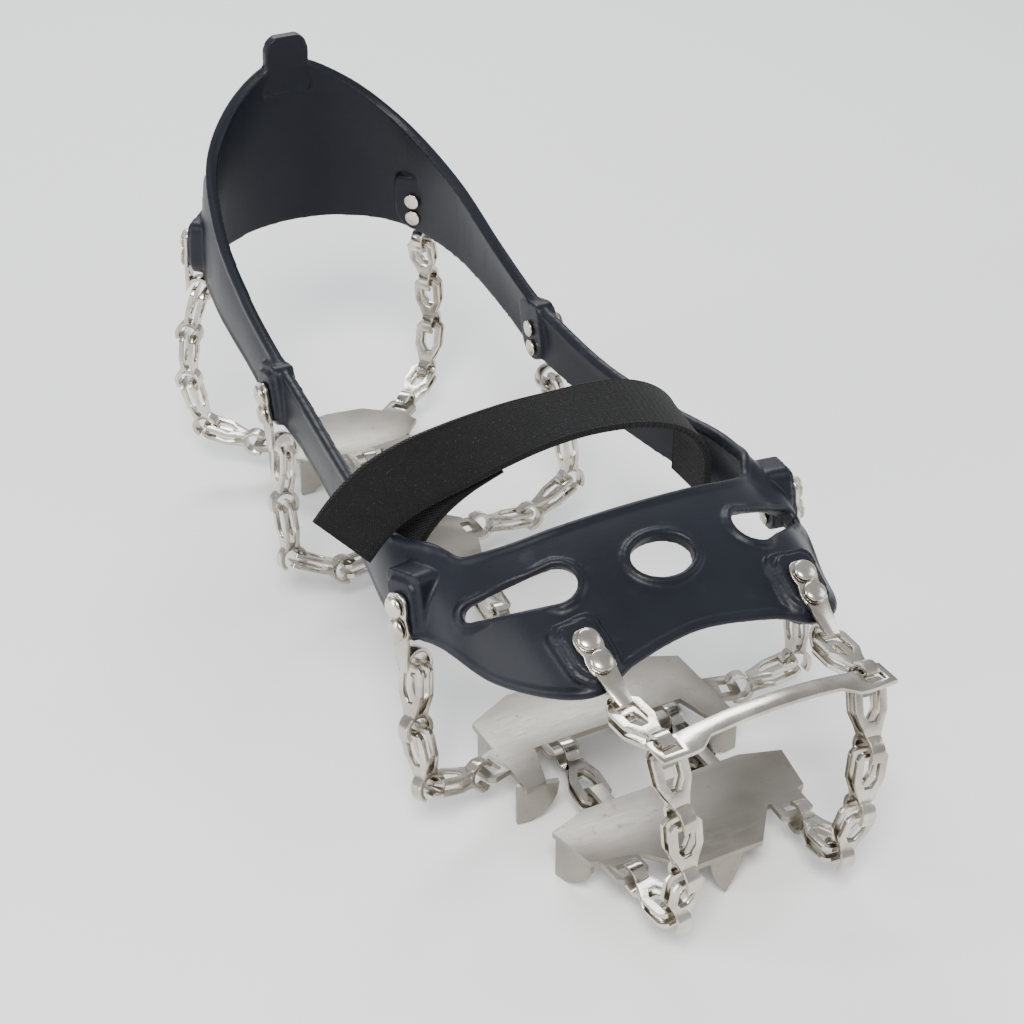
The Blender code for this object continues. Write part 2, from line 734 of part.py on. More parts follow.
def rear_pivot(start, count):
    """Far pivot of a spine chain that runs back from a hooked tab to the next plate."""
    span = count * LINK_PITCH * SPINE_STRETCH
    rise = PLATE_Z - start.z
    return Vector((start.x, start.y + sqrt(span ** 2 - rise ** 2), PLATE_Z))


def links_between(start_y, end_y):
    """How many links fit along the sole between two places."""
    return max(1, int((end_y - start_y) / (LINK_PITCH * SPINE_STRETCH)))


def make_spine(prefix, start, count, link):
    """Spine chain that sags a little from a hooked tab; gives its far pivot."""
    end = rear_pivot(start, count)
    pivots, aside = lay_chain(start, end, Vector((0, 0, -1)), count, (1.0,) * (count - 1))
    make_chain(prefix, pivots, -aside, link)
    return end


AFT = Vector((0, 1, 0))
FRONT_LENGTH = 29.0       # toe chains' landing to the front plate's rear edge
BALL_LENGTH = 25.0        # ball plate behind its front edge
ARCH_LENGTH = 11.0        # arch plate behind its side chains' landing
TOE_LINK_X = 17.0         # toe links from the middle
ARCH_ROOM = 17.0          # from the spine's landing to the arch chains' ears
HEEL_ROOM = 27.0          # from the spine's landing to the rear chains' ears


def make_plates(link):
    """The four plates and the chains that run between them under the sole."""
    toe, toe_travel = landing("front")
    front_rear = toe.y + FRONT_LENGTH
    toe_hooks = [Vector((side * TOE_LINK_X, front_rear, 0)) for side in (1, -1)]
    make_plate("front_plate",
               [(0, toe.y - 4), (11, toe.y - 4), (toe.x - 6, toe.y + 7), (toe.x + 8, toe.y + 10),
                (toe.x + 11, toe.y + 25), (toe.x - 1, front_rear), (0, front_rear)],
               [(flip(toe, side), flip(toe_travel, side)) for side in (1, -1)], toe_hooks,
               [tooth("leaf", 10.5, (0, toe.y - 2.9), (1, 0))]
               + both_sides("fin", 14.0, (toe.x + 8.4, toe.y + 17.0), (-0.2, -0.98)))
    ball, ball_travel = landing("ball")
    toe_pivots = []
    for side, name in ((1, "right"), (-1, "left")):
        start = hook_eye(toe_hooks[0 if side == 1 else 1])
        pivot = rear_pivot(start, 1)
        pivot.y = start.y + sqrt(LINK_PITCH ** 2 - (PLATE_Z - start.z) ** 2)
        toe_pivots.append(pivot)
        make_chain(f"toe_link_{name}", [start, pivot], Vector((0, 0, 1)), link)
    mid = toe_pivots[0].y + 6.0
    ball_rear = Vector((0, mid + BALL_LENGTH, 0))
    wing = ball.x - 8.0
    make_plate("ball_plate",
               [(0, mid), (24, mid), (28, mid - 14), (wing, mid - 15), (wing, mid + 18),
                (20, ball_rear.y), (0, ball_rear.y)],
               [(p, AFT) for p in toe_pivots] + [(flip(ball, s), flip(ball_travel, s)) for s in (1, -1)],
               [ball_rear],
               both_sides("fin", 12.0, (30.0, mid - 12.8), (-0.97, -0.25))
               + both_sides("fin", 12.0, (wing - 2.0, mid + 12.0), (0.1, -0.99))
               + both_sides("leaf", 10.0, (12.0, ball_rear.y - 2.0), (1, 0)))
    spine_start = hook_eye(ball_rear)
    arch, arch_travel = landing("arch")
    count = links_between(spine_start.y, arch.y - ARCH_ROOM)
    spine_end = make_spine("spine_front", spine_start, count, link)
    arch_rear = Vector((0, arch.y + ARCH_LENGTH, 0))
    side = arch.x - 3.4
    make_plate("arch_plate",
               [(0, spine_end.y + 9), (8, spine_end.y + 9), (side, arch.y - 6), (side, arch.y + 6),
                (7, arch_rear.y), (0, arch_rear.y)],
               [(spine_end, AFT)] + [(flip(arch, s), flip(arch_travel, s)) for s in (1, -1)],
               [arch_rear], [])
    heel_start = hook_eye(arch_rear)
    rear, rear_travel = landing("rear")
    count = links_between(heel_start.y, rear.y - HEEL_ROOM)
    heel_front = make_spine("spine_rear", heel_start, count, link)
    make_plate("heel_plate",
               [(0, heel_front.y + 8), (rear.x - 11, heel_front.y + 10), (rear.x - 2, heel_front.y + 19),
                (rear.x - 4, rear.y - 7), (rear.x - 16, rear.y + 3), (0, rear.y + 5)],
               [(heel_front, AFT)] + [(flip(rear, s), flip(rear_travel, s)) for s in (1, -1)],
               [],
               both_sides("fin", 12.0, (15.0, heel_front.y + 11.5), (-0.98, -0.15))
               + both_sides("fin", 12.0, (rear.x - 5, heel_front.y + 27.0), (0.1, -0.99))
               + [tooth("leaf", 10.5, (0, rear.y + 3.8), (1, 0))])


# ---------------------------------------------------------------- toe bar and strap

def make_toe_bar():
    """Flat bar joining the two front chains, one rail of each end slot inside a bulb."""
    pivots = hung_chain("front", 1)[0]
    joint = pivots[1]
    lean = (pivots[2] - joint).normalized()
    lift = (END_BAR / 2 - BAR_REST) * abs(lean.z) + (LEG_OFFSET + LINK_GAUGE / 2) * abs(lean.y) + GAP
    rest = joint.z + lift + TOE_BAR_GAUGE / 2
    far = sqrt((BULB_BORE / 2 + LINK_GAUGE) ** 2 - lift ** 2) + 2 * GAP
    reach = NECK_WIDTH / 2 + TOE_BAR_PLAY
    end = joint.x + reach + TOE_BAR_END
    flat = joint.x - reach - TOE_BAR_RAMP[0]
    half = [(flat * i / 4, TOE_BAR_RISE * (1 - (i / 4) ** 2)) for i in range(5)] + [(end, 0.0)]
    path = [(-x, z) for x, z in reversed(half[1:])] + half
    verts, faces = bent_strip(path, TOE_BAR_GAUGE, TOE_BAR_RAIL + far + TOE_BAR_LIP)
    middle = joint.y + (TOE_BAR_RAIL - far - TOE_BAR_LIP) / 2
    bar = new_object("toe_bar", [(x, -z, y) for x, y, z in verts], faces, STEEL,
                     Matrix.Translation(Vector((0, middle, rest)) * MM))
    slots = []
    for side in (1, -1):
        x = side * joint.x
        rear = joint.y - TOE_BAR_RAIL
        front = joint.y - far
        outline = [(x - reach, front - middle), (x + reach, front - middle),
                   (x + reach, rear - middle), (x - reach, rear - middle)]
        slots.append((*prism(outline, -3, 3), Matrix.Identity(4)))
    edge = -(TOE_BAR_RAIL + far + TOE_BAR_LIP) / 2
    wide, narrow = (flat - inset for inset in TOE_BAR_RAMP)
    waist = [(-wide, edge - 1), (wide, edge - 1),
             (narrow, edge + TOE_BAR_WAIST), (-narrow, edge + TOE_BAR_WAIST)]
    slots.append((*prism(waist, -6, 8), Matrix.Identity(4)))
    cutter = new_object("toe_bar_slots", *joined(slots), None, bar.matrix_world.copy())
    boolean(bar, cutter, "DIFFERENCE")


def ribbon(stations, width, gauge):
    """Webbing through stations of (middle, width direction), as verts and faces."""
    verts = []
    faces = []
    last = len(stations) - 1
    for i, (middle, across) in enumerate(stations):
        run = (stations[min(i + 1, last)][0] - stations[max(i - 1, 0)][0]).normalized()
        across = (across - run * across.dot(run)).normalized()
        face = run.cross(across)
        for a, b in ((-1, -1), (1, -1), (1, 1), (-1, 1)):
            verts.append(middle + across * a * width / 2 + face * b * gauge / 2)
    for i in range(last):
        for k in range(4):
            j = (k + 1) % 4
            faces.append((4 * i + k, 4 * i + j, 4 * i + 4 + j, 4 * i + 4 + k))
    faces.append((3, 2, 1, 0))
    faces.append(tuple(4 * last + k for k in range(4)))
    return verts, faces


# Stations of the strap from its loose left end to its end inside the right band:
# shares of the boot and a height for the middle, then its width direction.
STRAP = (
    ((-1.190, -0.270, 64.5), (0, 0.46, 0.89)),
    ((-1.085, -0.268, 70.5), (0, 0.50, 0.87)),
    ((-0.950, -0.267, 75.8), (0, 0.58, 0.81)),
    ((-0.780, -0.268, 79.3), (0, 0.68, 0.73)),
    ((-0.590, -0.272, 82.0), (0, 0.80, 0.60)),
    ((-0.400, -0.278, 84.5), (0, 0.90, 0.44)),
    ((-0.200, -0.284, 86.5), (0, 0.95, 0.31)),
    ((0.000, -0.286, 87.0), (0, 0.97, 0.24)),
    ((0.200, -0.284, 86.3), (0, 0.96, 0.27)),
    ((0.400, -0.278, 84.0), (0, 0.95, 0.31)),
    ((0.580, -0.270, 79.5), (0, 0.95, 0.31)),
    ((0.720, -0.260, 73.0), (0, 0.96, 0.27)),
    ((0.805, -0.250, 65.0), (0, 0.98, 0.20)),
    ((0.835, -0.240, 56.0), (0, 1.00, 0.05)),
    ((0.840, -0.236, 47.5), (0, 1.00, 0.00)),
)
ANCHOR = (
    ((-0.400, -0.270, 81.2), (0, 0.90, 0.44)),
    ((-0.560, -0.262, 76.8), (0, 0.90, 0.44)),
    ((-0.690, -0.255, 71.0), (0, 0.92, 0.38)),
    ((-0.780, -0.248, 64.0), (0, 0.96, 0.28)),
    ((-0.825, -0.240, 56.0), (0, 1.00, 0.10)),
    ((-0.840, -0.236, 47.5), (0, 1.00, 0.00)),
)
TAIL_STATION = 4          # station where the loose tail starts to lift


def stations(table):
    """Stations in millimetres from shares of the boot."""
    return [(on_boot(*middle), Vector(across)) for middle, across in table]


def tail_hinge():
    """Point on the outer face and direction of the line on which the strap's tail lifts."""
    line = stations(STRAP)
    middle, across = line[TAIL_STATION]
    run = line[TAIL_STATION + 1][0] - line[TAIL_STATION - 1][0]
    across = (across - run * across.dot(run) / run.length_squared).normalized()
    return middle + run.cross(across).normalized() * STRAP_GAUGE / 2, across


def make_strap():
    """Strap over the instep, its loose tail and the anchor that the tail grips."""
    line = stations(STRAP)
    body = line[TAIL_STATION:]
    body[0] = (body[0][0].lerp(body[1][0], 0.02), body[0][1])
    new_object("strap_body", *ribbon(body, STRAP_WIDTH, STRAP_GAUGE), WEBBING)
    tail = line[:TAIL_STATION + 1]
    middle = tail[-1][0]
    step = (tail[-2][0] - middle).normalized() * 2 * GAP
    tail[-1] = (middle + step, tail[-1][1])
    verts, faces = ribbon(tail, STRAP_WIDTH, STRAP_GAUGE)
    hinge = tail_hinge()[0]
    new_object("strap_tail", [v - hinge for v in verts], faces, WEBBING, Matrix.Translation(hinge * MM))
    new_object("strap_anchor", *ribbon(stations(ANCHOR), STRAP_WIDTH * 0.9, STRAP_GAUGE * 0.8), WEBBING)


# ---------------------------------------------------------------- assembly

SIDES = ((-1, "left"), (1, "right"))


def make_all():
    """Build every piece in place."""
    for old in list(bpy.data.objects):
        bpy.data.objects.remove(old)
    make_harness()
    clip = clip_mesh()
    link_object = new_object("link_work", *link_mesh(), None)
    link = baked(link_object)
    for name in LUGS:
        for side, word in SIDES:
            place_mesh(f"clip_{name}_{word}", clip, STEEL, lug_frame(name, side))
            pivots, outward = hung_chain(name, side)
            make_chain(f"{name}_chain_{word}", pivots, outward, link)
    make_plates(link)
    make_toe_bar()
    make_strap()


make_all()
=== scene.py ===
"""Looks for slip-on ice spikes: moulded elastomer harness, pressed steel clips and folded
links, toothed plates and a hook-and-loop strap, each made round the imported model.

Lengths are written in millimetres and multiplied by MM where a mesh is made.
"""

import json
from math import atan2, cos, hypot, pi, radians, sin, sqrt

import bmesh
import bpy
from mathutils import Matrix, Vector


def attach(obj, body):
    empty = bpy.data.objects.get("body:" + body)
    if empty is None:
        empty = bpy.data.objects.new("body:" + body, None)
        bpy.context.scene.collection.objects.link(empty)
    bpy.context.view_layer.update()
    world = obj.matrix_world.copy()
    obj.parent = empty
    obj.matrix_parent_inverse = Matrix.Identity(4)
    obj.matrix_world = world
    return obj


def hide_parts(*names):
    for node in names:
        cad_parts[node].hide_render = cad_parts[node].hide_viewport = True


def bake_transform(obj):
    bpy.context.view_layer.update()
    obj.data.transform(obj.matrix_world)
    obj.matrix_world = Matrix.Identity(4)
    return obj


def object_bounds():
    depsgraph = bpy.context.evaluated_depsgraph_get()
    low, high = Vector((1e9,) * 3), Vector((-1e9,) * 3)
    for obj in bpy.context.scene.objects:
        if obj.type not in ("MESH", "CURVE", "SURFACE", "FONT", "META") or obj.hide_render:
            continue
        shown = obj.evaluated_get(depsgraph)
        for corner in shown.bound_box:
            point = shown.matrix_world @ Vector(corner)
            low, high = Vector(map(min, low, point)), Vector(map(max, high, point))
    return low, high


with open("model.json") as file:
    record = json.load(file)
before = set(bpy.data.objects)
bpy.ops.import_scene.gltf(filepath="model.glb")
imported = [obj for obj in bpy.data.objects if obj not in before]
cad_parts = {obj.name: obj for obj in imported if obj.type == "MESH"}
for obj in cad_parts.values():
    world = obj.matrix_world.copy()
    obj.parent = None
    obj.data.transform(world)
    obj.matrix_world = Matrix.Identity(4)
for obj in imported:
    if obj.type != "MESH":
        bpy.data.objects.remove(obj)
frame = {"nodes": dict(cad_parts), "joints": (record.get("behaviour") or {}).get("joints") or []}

cad_low, cad_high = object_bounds()

MM = 0.001
GAP = 0.3                  # clear space left between pieces that touch
CORNER = radians(38)       # edges sharper than this are rounded on pressed strip

# Boot inside the harness, and the harness wall
BOOT_LENGTH = 300.0
BOOT_WIDTH = 112.0
WALL = 3.2
BEAD = 1.55               # radius of the rounded bead along every edge
BEAD_INSET = 0.9           # middle of an edge bead in from the wall's edge
BEAD_RAISE = 0.75          # and out from the middle of the wall
HOLE_BEAD = 1.25
HOLE_DEPTH = 9.0           # reach of a hole's cutter to each side of the wall
LUG_WIDTH = 14.0
LUG_RAISE = 5.2
LUG_BACK = 2.6
LUG_TAIL = 7.6
LUG_HEAD = 12.0
LUG_STEP = 1.5             # raised face of a lug above its outer step
LUG_STEP_INSET = 1.7       # raised face in from the outline of its outer step
LUG_STEP_HEAD = 1.9        # and behind its rivets
LUG_CORNER = 3.0
RIDGES = range(-15, 16, 3) # heel ridges, in wall columns from the heel centre
RIDGE_RADIUS = 0.75
TAB_GAUGE = 3.8
CENTRE_HOLE = (18.0, 13.0)
SIDE_HOLE = (31.0, 12.5)
VOXEL = 0.56
KEPT_FACES = 0.50          # share of the harness's faces left after it is smoothed

# Clips
CLIP_GAUGE = 1.2
CLIP_WIDTH = 7.4
RIVET_PITCH = 6.4
RIVET_HEAD = 6.2
RIVET_DOME = 1.05
RIVET_TO_EYE = 14.5
RIVET_RIM = 0.5            # height of the short rim under a rivet's head
RIVET_BACK = (5.4, 0.8)    # closing head: across, thick
CLIP_FACE = LUG_RAISE + GAP + CLIP_GAUGE / 2

# Folded links
LINK_GAUGE = 1.3
LINK_PITCH = 18.5
LINK_WIDTH = 9.2
END_BAR = 2.2
NECK_WIDTH = 3.8
NECK_PLAY = 0.35           # slot beyond a neck, on each side
LINK_SLOT = NECK_WIDTH + 2 * NECK_PLAY
LEG_OFFSET = 1.65          # middle of each folded leaf from the link's middle plane
WINDOW_HALF = LINK_SLOT / 2 + 0.3
WINDOW_TIP = 0.42          # width of the window's far end as a share of its full width
TIP_LENGTH = 1.2           # metal between the window's far end and the shoulder
END_CORNER = 1.7           # cut off each corner of the end bar
TAPER_START = 8.4          # where a link starts to narrow towards its neck
BAR_REST = 0.7             # how far a pulled end bar sits past the middle of the bulb
PIVOT_PLAY = 0.4           # bore beyond the corners of a folded end bar
BULB_BORE = 2 * (hypot(LEG_OFFSET + LINK_GAUGE / 2, BAR_REST + END_BAR / 2) + PIVOT_PLAY)
BULB_RADIUS = (BULB_BORE + LINK_GAUGE) / 2
EYE_RADIUS = (BULB_BORE + CLIP_GAUGE) / 2
TOE_BAR_LIFT = 0.08        # keeps the toe bar off the links as they swing

# Strap
STRAP_WIDTH = 19.0
STRAP_GAUGE = 2.0
ANCHOR_WIDTH = STRAP_WIDTH * 0.9
ANCHOR_GAUGE = STRAP_GAUGE * 0.8

# Camera: degrees round and above, metres away, millimetres of lens, and where it looks
CAMERA_ROUND = 28.0
CAMERA_ABOVE = 32.5
CAMERA_AWAY = 0.60
CAMERA_LENS = 71.0
CAMERA_AIM = Vector((0.0, -0.012, 0.038))

ROOT = "harness_on_boot"


# ---------------------------------------------------------------- shader maths

class Value:
    """A shader socket that arithmetic can be written on."""

    def __init__(self, tree, socket):
        self.tree = tree
        self.socket = socket

    def math(self, operation, *others):
        return node(self.tree, "ShaderNodeMath", {"operation": operation},
                    {i: v for i, v in enumerate((self, *others))})

    def __add__(self, other):
        return self.math("ADD", other)

    def __sub__(self, other):
        return self.math("SUBTRACT", other)

    def __mul__(self, other):
        return self.math("MULTIPLY", other)

    def __rmul__(self, other):
        return self.math("MULTIPLY", other)

    def __radd__(self, other):
        return self.math("ADD", other)

    def __rsub__(self, other):
        return node(self.tree, "ShaderNodeMath", {"operation": "SUBTRACT"}, {0: other, 1: self})

    def band(self, low, high):
        """0 below low, 1 above high and a smooth step between."""
        return node(self.tree, "ShaderNodeMapRange", {"interpolation_type": "SMOOTHSTEP"},
                    {"Value": self, "From Min": low, "From Max": high})

    def sine(self):
        return self.math("SINE")


def node(tree, kind, settings, sockets, output=0):
    """Adds a node, sets it up, fills its sockets and gives one of its outputs."""
    made = tree.nodes.new(kind)
    for name, value in settings.items():
        setattr(made, name, value)
    for name, value in sockets.items():
        target = made.inputs[name]
        if isinstance(value, Value):
            tree.links.new(value.socket, target)
        else:
            target.default_value = value
    return Value(tree, made.outputs[output])


def blend_colours(tree, factor, first, second):
    """Colour between two colours."""
    mixed = tree.nodes.new("ShaderNodeMix")
    mixed.data_type = "RGBA"
    tree.links.new(factor.socket, mixed.inputs["Factor"])
    for name, colour in (("A", first), ("B", second)):
        socket = next(s for s in mixed.inputs if s.name == name and s.type == "RGBA")
        if isinstance(colour, Value):
            tree.links.new(colour.socket, socket)
        else:
            socket.default_value = (*colour, 1.0)
    return Value(tree, next(s for s in mixed.outputs if s.type == "RGBA"))


def new_material(name, metallic=0.0, specular=0.5):
    """Material with its tree, its shader and Object coordinates."""
    made = bpy.data.materials.new(name)
    made.use_nodes = True
    tree = made.node_tree
    shader = tree.nodes["Principled BSDF"]
    shader.inputs["Metallic"].default_value = metallic
    shader.inputs["Specular IOR Level"].default_value = specular
    place = node(tree, "ShaderNodeTexCoord", {}, {}, "Object")
    return made, tree, shader, place


def noise(tree, place, size, detail=4.0, rough=0.55):
    """Noise whose features are about a size in millimetres."""
    return node(tree, "ShaderNodeTexNoise", {},
                {"Vector": place, "Scale": 1000.0 / size, "Detail": detail, "Roughness": rough}, "Fac")


def stretched(tree, place, scale):
    """Coordinates scaled differently along each axis."""
    return node(tree, "ShaderNodeMapping", {}, {"Vector": place, "Scale": scale})


def bump(tree, height, depth, strength=1.0):
    """Normal from a height whose full range is a depth in millimetres."""
    return node(tree, "ShaderNodeBump", {},
                {"Height": height, "Distance": depth * MM, "Strength": strength})


def connect(tree, value, socket):
    """Feeds a socket from a value."""
    tree.links.new(value.socket, socket)


def elastomer():
    """Dark navy moulded elastomer: satin, with faint flow marks, dust and rubbed patches."""
    made, tree, shader, place = new_material("navy_elastomer", specular=0.25)
    cloud = noise(tree, place, 38.0)
    grain = noise(tree, place, 0.9, 2.0)
    smear = noise(tree, stretched(tree, place, (1.0, 1.0, 0.35)), 9.0, 5.0, 0.65)
    dust = smear.band(0.56, 0.78) * 0.55
    base = blend_colours(tree, cloud.band(0.3, 0.7), (0.0032, 0.0043, 0.0082), (0.0054, 0.0071, 0.0125))
    connect(tree, blend_colours(tree, dust, base, (0.014, 0.017, 0.024)), shader.inputs["Base Color"])
    connect(tree, 0.34 + cloud * 0.12 + dust * 0.22 + grain * 0.05, shader.inputs["Roughness"])
    connect(tree, bump(tree, grain * 0.6 + smear * 0.4, 0.05), shader.inputs["Normal"])
    return made


def steel(name, light, dark, gloss, brushed):
    """Pressed stainless steel: cloudy polish, fine scratches and a little tarnish."""
    made, tree, shader, place = new_material(name, metallic=1.0)
    cloud = noise(tree, place, 14.0)
    lines = noise(tree, stretched(tree, place, (1.0, 1.0, 0.08)), 0.5, 3.0, 0.6)
    fine = noise(tree, stretched(tree, place, (0.12, 1.0, 1.0)), 0.7, 3.0, 0.6)
    spots = noise(tree, place, 3.2, 3.0, 0.6).band(0.60, 0.76)
    base = blend_colours(tree, cloud.band(0.22, 0.78), dark, light)
    stained = tuple(c * 0.62 for c in dark)
    connect(tree, blend_colours(tree, spots * 0.35, base, stained), shader.inputs["Base Color"])
    connect(tree, gloss + cloud * 0.10 + fine * brushed + spots * 0.14, shader.inputs["Roughness"])
    connect(tree, bump(tree, lines * 0.5 + fine * 0.5, 0.02 + 0.05 * brushed), shader.inputs["Normal"])
    return made


def webbing_finish(name, pile):
    """Black webbing on its own UV map in millimetres, woven, with a share of loop pile that carries painted
    glints.
    """
    made, tree, shader, place = new_material(name, specular=0.25)
    shader.inputs["Sheen Weight"].default_value = 0.04
    shader.inputs["Sheen Roughness"].default_value = 0.4
    uv = node(tree, "ShaderNodeTexCoord", {}, {}, "UV")
    split = tree.nodes.new("ShaderNodeSeparateXYZ")
    tree.links.new(uv.socket, split.inputs[0])
    along = Value(tree, split.outputs[0])
    across = Value(tree, split.outputs[1])
    turn = 2 * pi
    weft = (along * (turn / 1.1)).sine()
    warp = (across * (turn / 0.9)).sine()
    rows = (along * (turn / 2.2)).sine()
    weave = weft * warp * 0.5 + rows * 0.25 + 0.5
    fuzz = noise(tree, place, 0.55, 3.0, 0.7)
    clump = noise(tree, place, 2.4, 3.0, 0.6)
    edge = (across.math("ABSOLUTE")).band(STRAP_WIDTH * 0.40, STRAP_WIDTH * 0.43)
    loops = (1.0 - edge) * pile
    height = weave * (1.0 - loops * 0.6) + fuzz * loops * 1.3
    # painted glints: bright specks painted into the loop pile's colour, where the pile is also made less
    # rough
    painted_glint_and_gloss = fuzz.band(0.62, 0.72) * loops
    base = blend_colours(tree, clump.band(0.3, 0.7), (0.0018, 0.0018, 0.0021), (0.0042, 0.0042, 0.0047))
    connect(tree, blend_colours(tree, painted_glint_and_gloss * 0.8, base, (0.045, 0.045, 0.048)), shader.inputs["Base Color"])
    connect(tree, 0.78 - painted_glint_and_gloss * 0.42 + clump * 0.1, shader.inputs["Roughness"])
    connect(tree, bump(tree, height, 0.32), shader.inputs["Normal"])
    return made


# ---------------------------------------------------------------- modelling helpers

def only(obj):
    """Selects one object and makes it active."""
    bpy.ops.object.select_all(action="DESELECT")
    obj.select_set(True)
    bpy.context.view_layer.objects.active = obj


def choose(obj, parts, wanted):
    """In edit mode, selects the verts, edges or faces whose middle passes a test."""
    bpy.ops.mesh.select_mode(type={"verts": "VERT", "edges": "EDGE", "faces": "FACE"}[parts])
    bpy.ops.mesh.select_all(action="DESELECT")
    work = bmesh.from_edit_mesh(obj.data)
    for element in getattr(work, parts):
        corners = [element] if parts == "verts" else list(element.verts)
        middle = sum((v.co for v in corners), Vector()) / len(corners)
        if wanted(middle / MM):
            element.select_set(True)
    work.select_flush_mode()
    bmesh.update_edit_mesh(obj.data)


def modify(obj, kind, **settings):
    """Adds a modifier and applies it."""
    only(obj)
    made = obj.modifiers.new(kind.lower(), kind)
    for name, value in settings.items():
        setattr(made, name, value)
    bpy.ops.object.modifier_apply(modifier=made.name)


def outward(obj):
    """Turns every face outwards."""
    only(obj)
    bpy.ops.object.mode_set(mode="EDIT")
    bpy.ops.mesh.select_all(action="SELECT")
    bpy.ops.mesh.normals_make_consistent(inside=False)
    bpy.ops.object.mode_set(mode="OBJECT")


def merge(first, *others):
    """Joins objects into the first one."""
    bpy.ops.object.select_all(action="DESELECT")
    for obj in (first, *others):
        obj.select_set(True)
    bpy.context.view_layer.objects.active = first
    bpy.ops.object.join()
    return first


def mesh_object(name, verts, faces):
    """Object from millimetre points."""
    mesh = bpy.data.meshes.new(name)
    mesh.from_pydata([Vector(v) * MM for v in verts], [], faces)
    obj = bpy.data.objects.new(name, mesh)
    bpy.context.scene.collection.objects.link(obj)
    return obj


def finish_piece(obj, finish, body, node_name, angle=35.0):
    """Shading, material, body and replaced node of a new piece."""
    only(obj)
    bpy.ops.object.shade_smooth_by_angle(angle=radians(angle))
    obj.data.materials.clear()
    obj.data.materials.append(finish)
    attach(obj, body)
    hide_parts(node_name)
    return obj


def prism(name, outline, low, high, put):
    """Closed prism on an outline; put gives each corner's place."""
    count = len(outline)
    verts = [put(Vector((x, y, z))) for z in (low, high) for x, y in outline]
    faces = [tuple(reversed(range(count))), tuple(range(count, 2 * count))]
    faces += [(i, (i + 1) % count, count + (i + 1) % count, count + i) for i in range(count)]
    obj = mesh_object(name, verts, faces)
    outward(obj)
    return obj


def between(a, b, c, d, t):
    """Point a share of the way from b to c on the smooth curve through four points."""
    return 0.5 * (2 * b + (c - a) * t + (2 * a - 5 * b + 4 * c - d) * t * t
                  + (3 * b - a - 3 * c + d) * t ** 3)


def disc(sides, radius, depth, x, z, edge, rounds):
    """Short cylinder with rounded edges, its middle at X and Z."""
    bpy.ops.object.select_all(action="DESELECT")
    bpy.ops.mesh.primitive_cylinder_add(vertices=sides, radius=radius * MM, depth=depth * MM)
    made = bpy.context.object
    made.data.transform(Matrix.Translation(Vector((x, 0, z)) * MM))
    modify(made, "BEVEL", width=edge * MM, segments=rounds, limit_method="ANGLE")
    return made


def copy_at(original, name, placement):
    """Copy with a mesh of its own, its place put into the mesh."""
    obj = original.copy()
    obj.data = original.data.copy()
    obj.name = name
    obj.data.name = name
    bpy.context.scene.collection.objects.link(obj)
    obj.data.transform(placement)
    return obj


def face_centre(obj):
    """Middle of a mesh's surface."""
    total = 0.0
    middle = Vector()
    for face in obj.data.polygons:
        middle += face.center * face.area
        total += face.area
    return middle / total


# ---------------------------------------------------------------- links

def link_model():
    """Folded link: X along it from its pivot, Y its width, Z through its two leaves."""
    start = BAR_REST - END_BAR / 2
    half = LINK_WIDTH / 2
    enter = LINK_PITCH - sqrt(BULB_RADIUS ** 2 - LEG_OFFSET ** 2)
    shoulder = enter - (half - NECK_WIDTH / 2)
    slope = (half - NECK_WIDTH / 2) / (enter - TAPER_START)
    end_half = half - slope * (shoulder - TAPER_START)
    tip = WINDOW_HALF * WINDOW_TIP
    columns = (
        (start, WINDOW_HALF, half - END_CORNER),
        (start + END_CORNER, WINDOW_HALF, half),
        (start + END_BAR, WINDOW_HALF, half),
        (TAPER_START, WINDOW_HALF, half),
        (shoulder - TIP_LENGTH, tip, end_half + slope * TIP_LENGTH),
        (shoulder, tip, end_half),
    )
    bpy.ops.object.select_all(action="DESELECT")
    bpy.ops.mesh.primitive_grid_add(x_subdivisions=5, y_subdivisions=3, size=2.0)
    link = bpy.context.object
    for v in link.data.vertices:
        x, inner, outer = columns[round((v.co.x + 1) * 2.5)]
        y = (-outer, -inner, inner, outer)[round((v.co.y + 1) * 1.5)]
        v.co = Vector((x, y, LEG_OFFSET)) * MM
    bpy.ops.object.mode_set(mode="EDIT")
    choose(link, "faces", lambda m: abs(m.y) < 0.5 and columns[2][0] < m.x < columns[4][0])
    bpy.ops.mesh.delete(type="FACE")
    choose(link, "verts", lambda m: abs(m.y) > half - 1.8 and m.x < TAPER_START + 0.1
           and abs(m.x - columns[2][0]) > 0.1)
    bpy.ops.mesh.bevel(offset=0.45 * MM, affect="VERTICES", segments=2)
    choose(link, "edges", lambda m: m.x > shoulder - 0.1)
    bpy.ops.mesh.extrude_region_move(TRANSFORM_OT_translate={"value": ((enter - shoulder) * MM, 0, 0)})
    bpy.ops.transform.resize(value=(1, NECK_WIDTH / 2 / end_half, 1))
    swing = pi - atan2(LEG_OFFSET, LINK_PITCH - enter)
    bpy.ops.mesh.spin(steps=9, angle=swing, center=(LINK_PITCH * MM, 0, 0), axis=(0, 1, 0))
    bpy.ops.object.mode_set(mode="OBJECT")
    modify(link, "MIRROR", use_axis=(False, False, True), merge_threshold=0.00005)
    outward(link)
    modify(link, "SOLIDIFY", thickness=LINK_GAUGE * MM, offset=0.0, use_even_offset=True)
    outward(link)
    modify(link, "BEVEL", width=0.32 * MM, segments=3, limit_method="ANGLE", angle_limit=CORNER)
    return link


def joint_of(body):
    """The joint that carries a body."""
    return next(j for j in frame["joints"] if j["child"] == body)


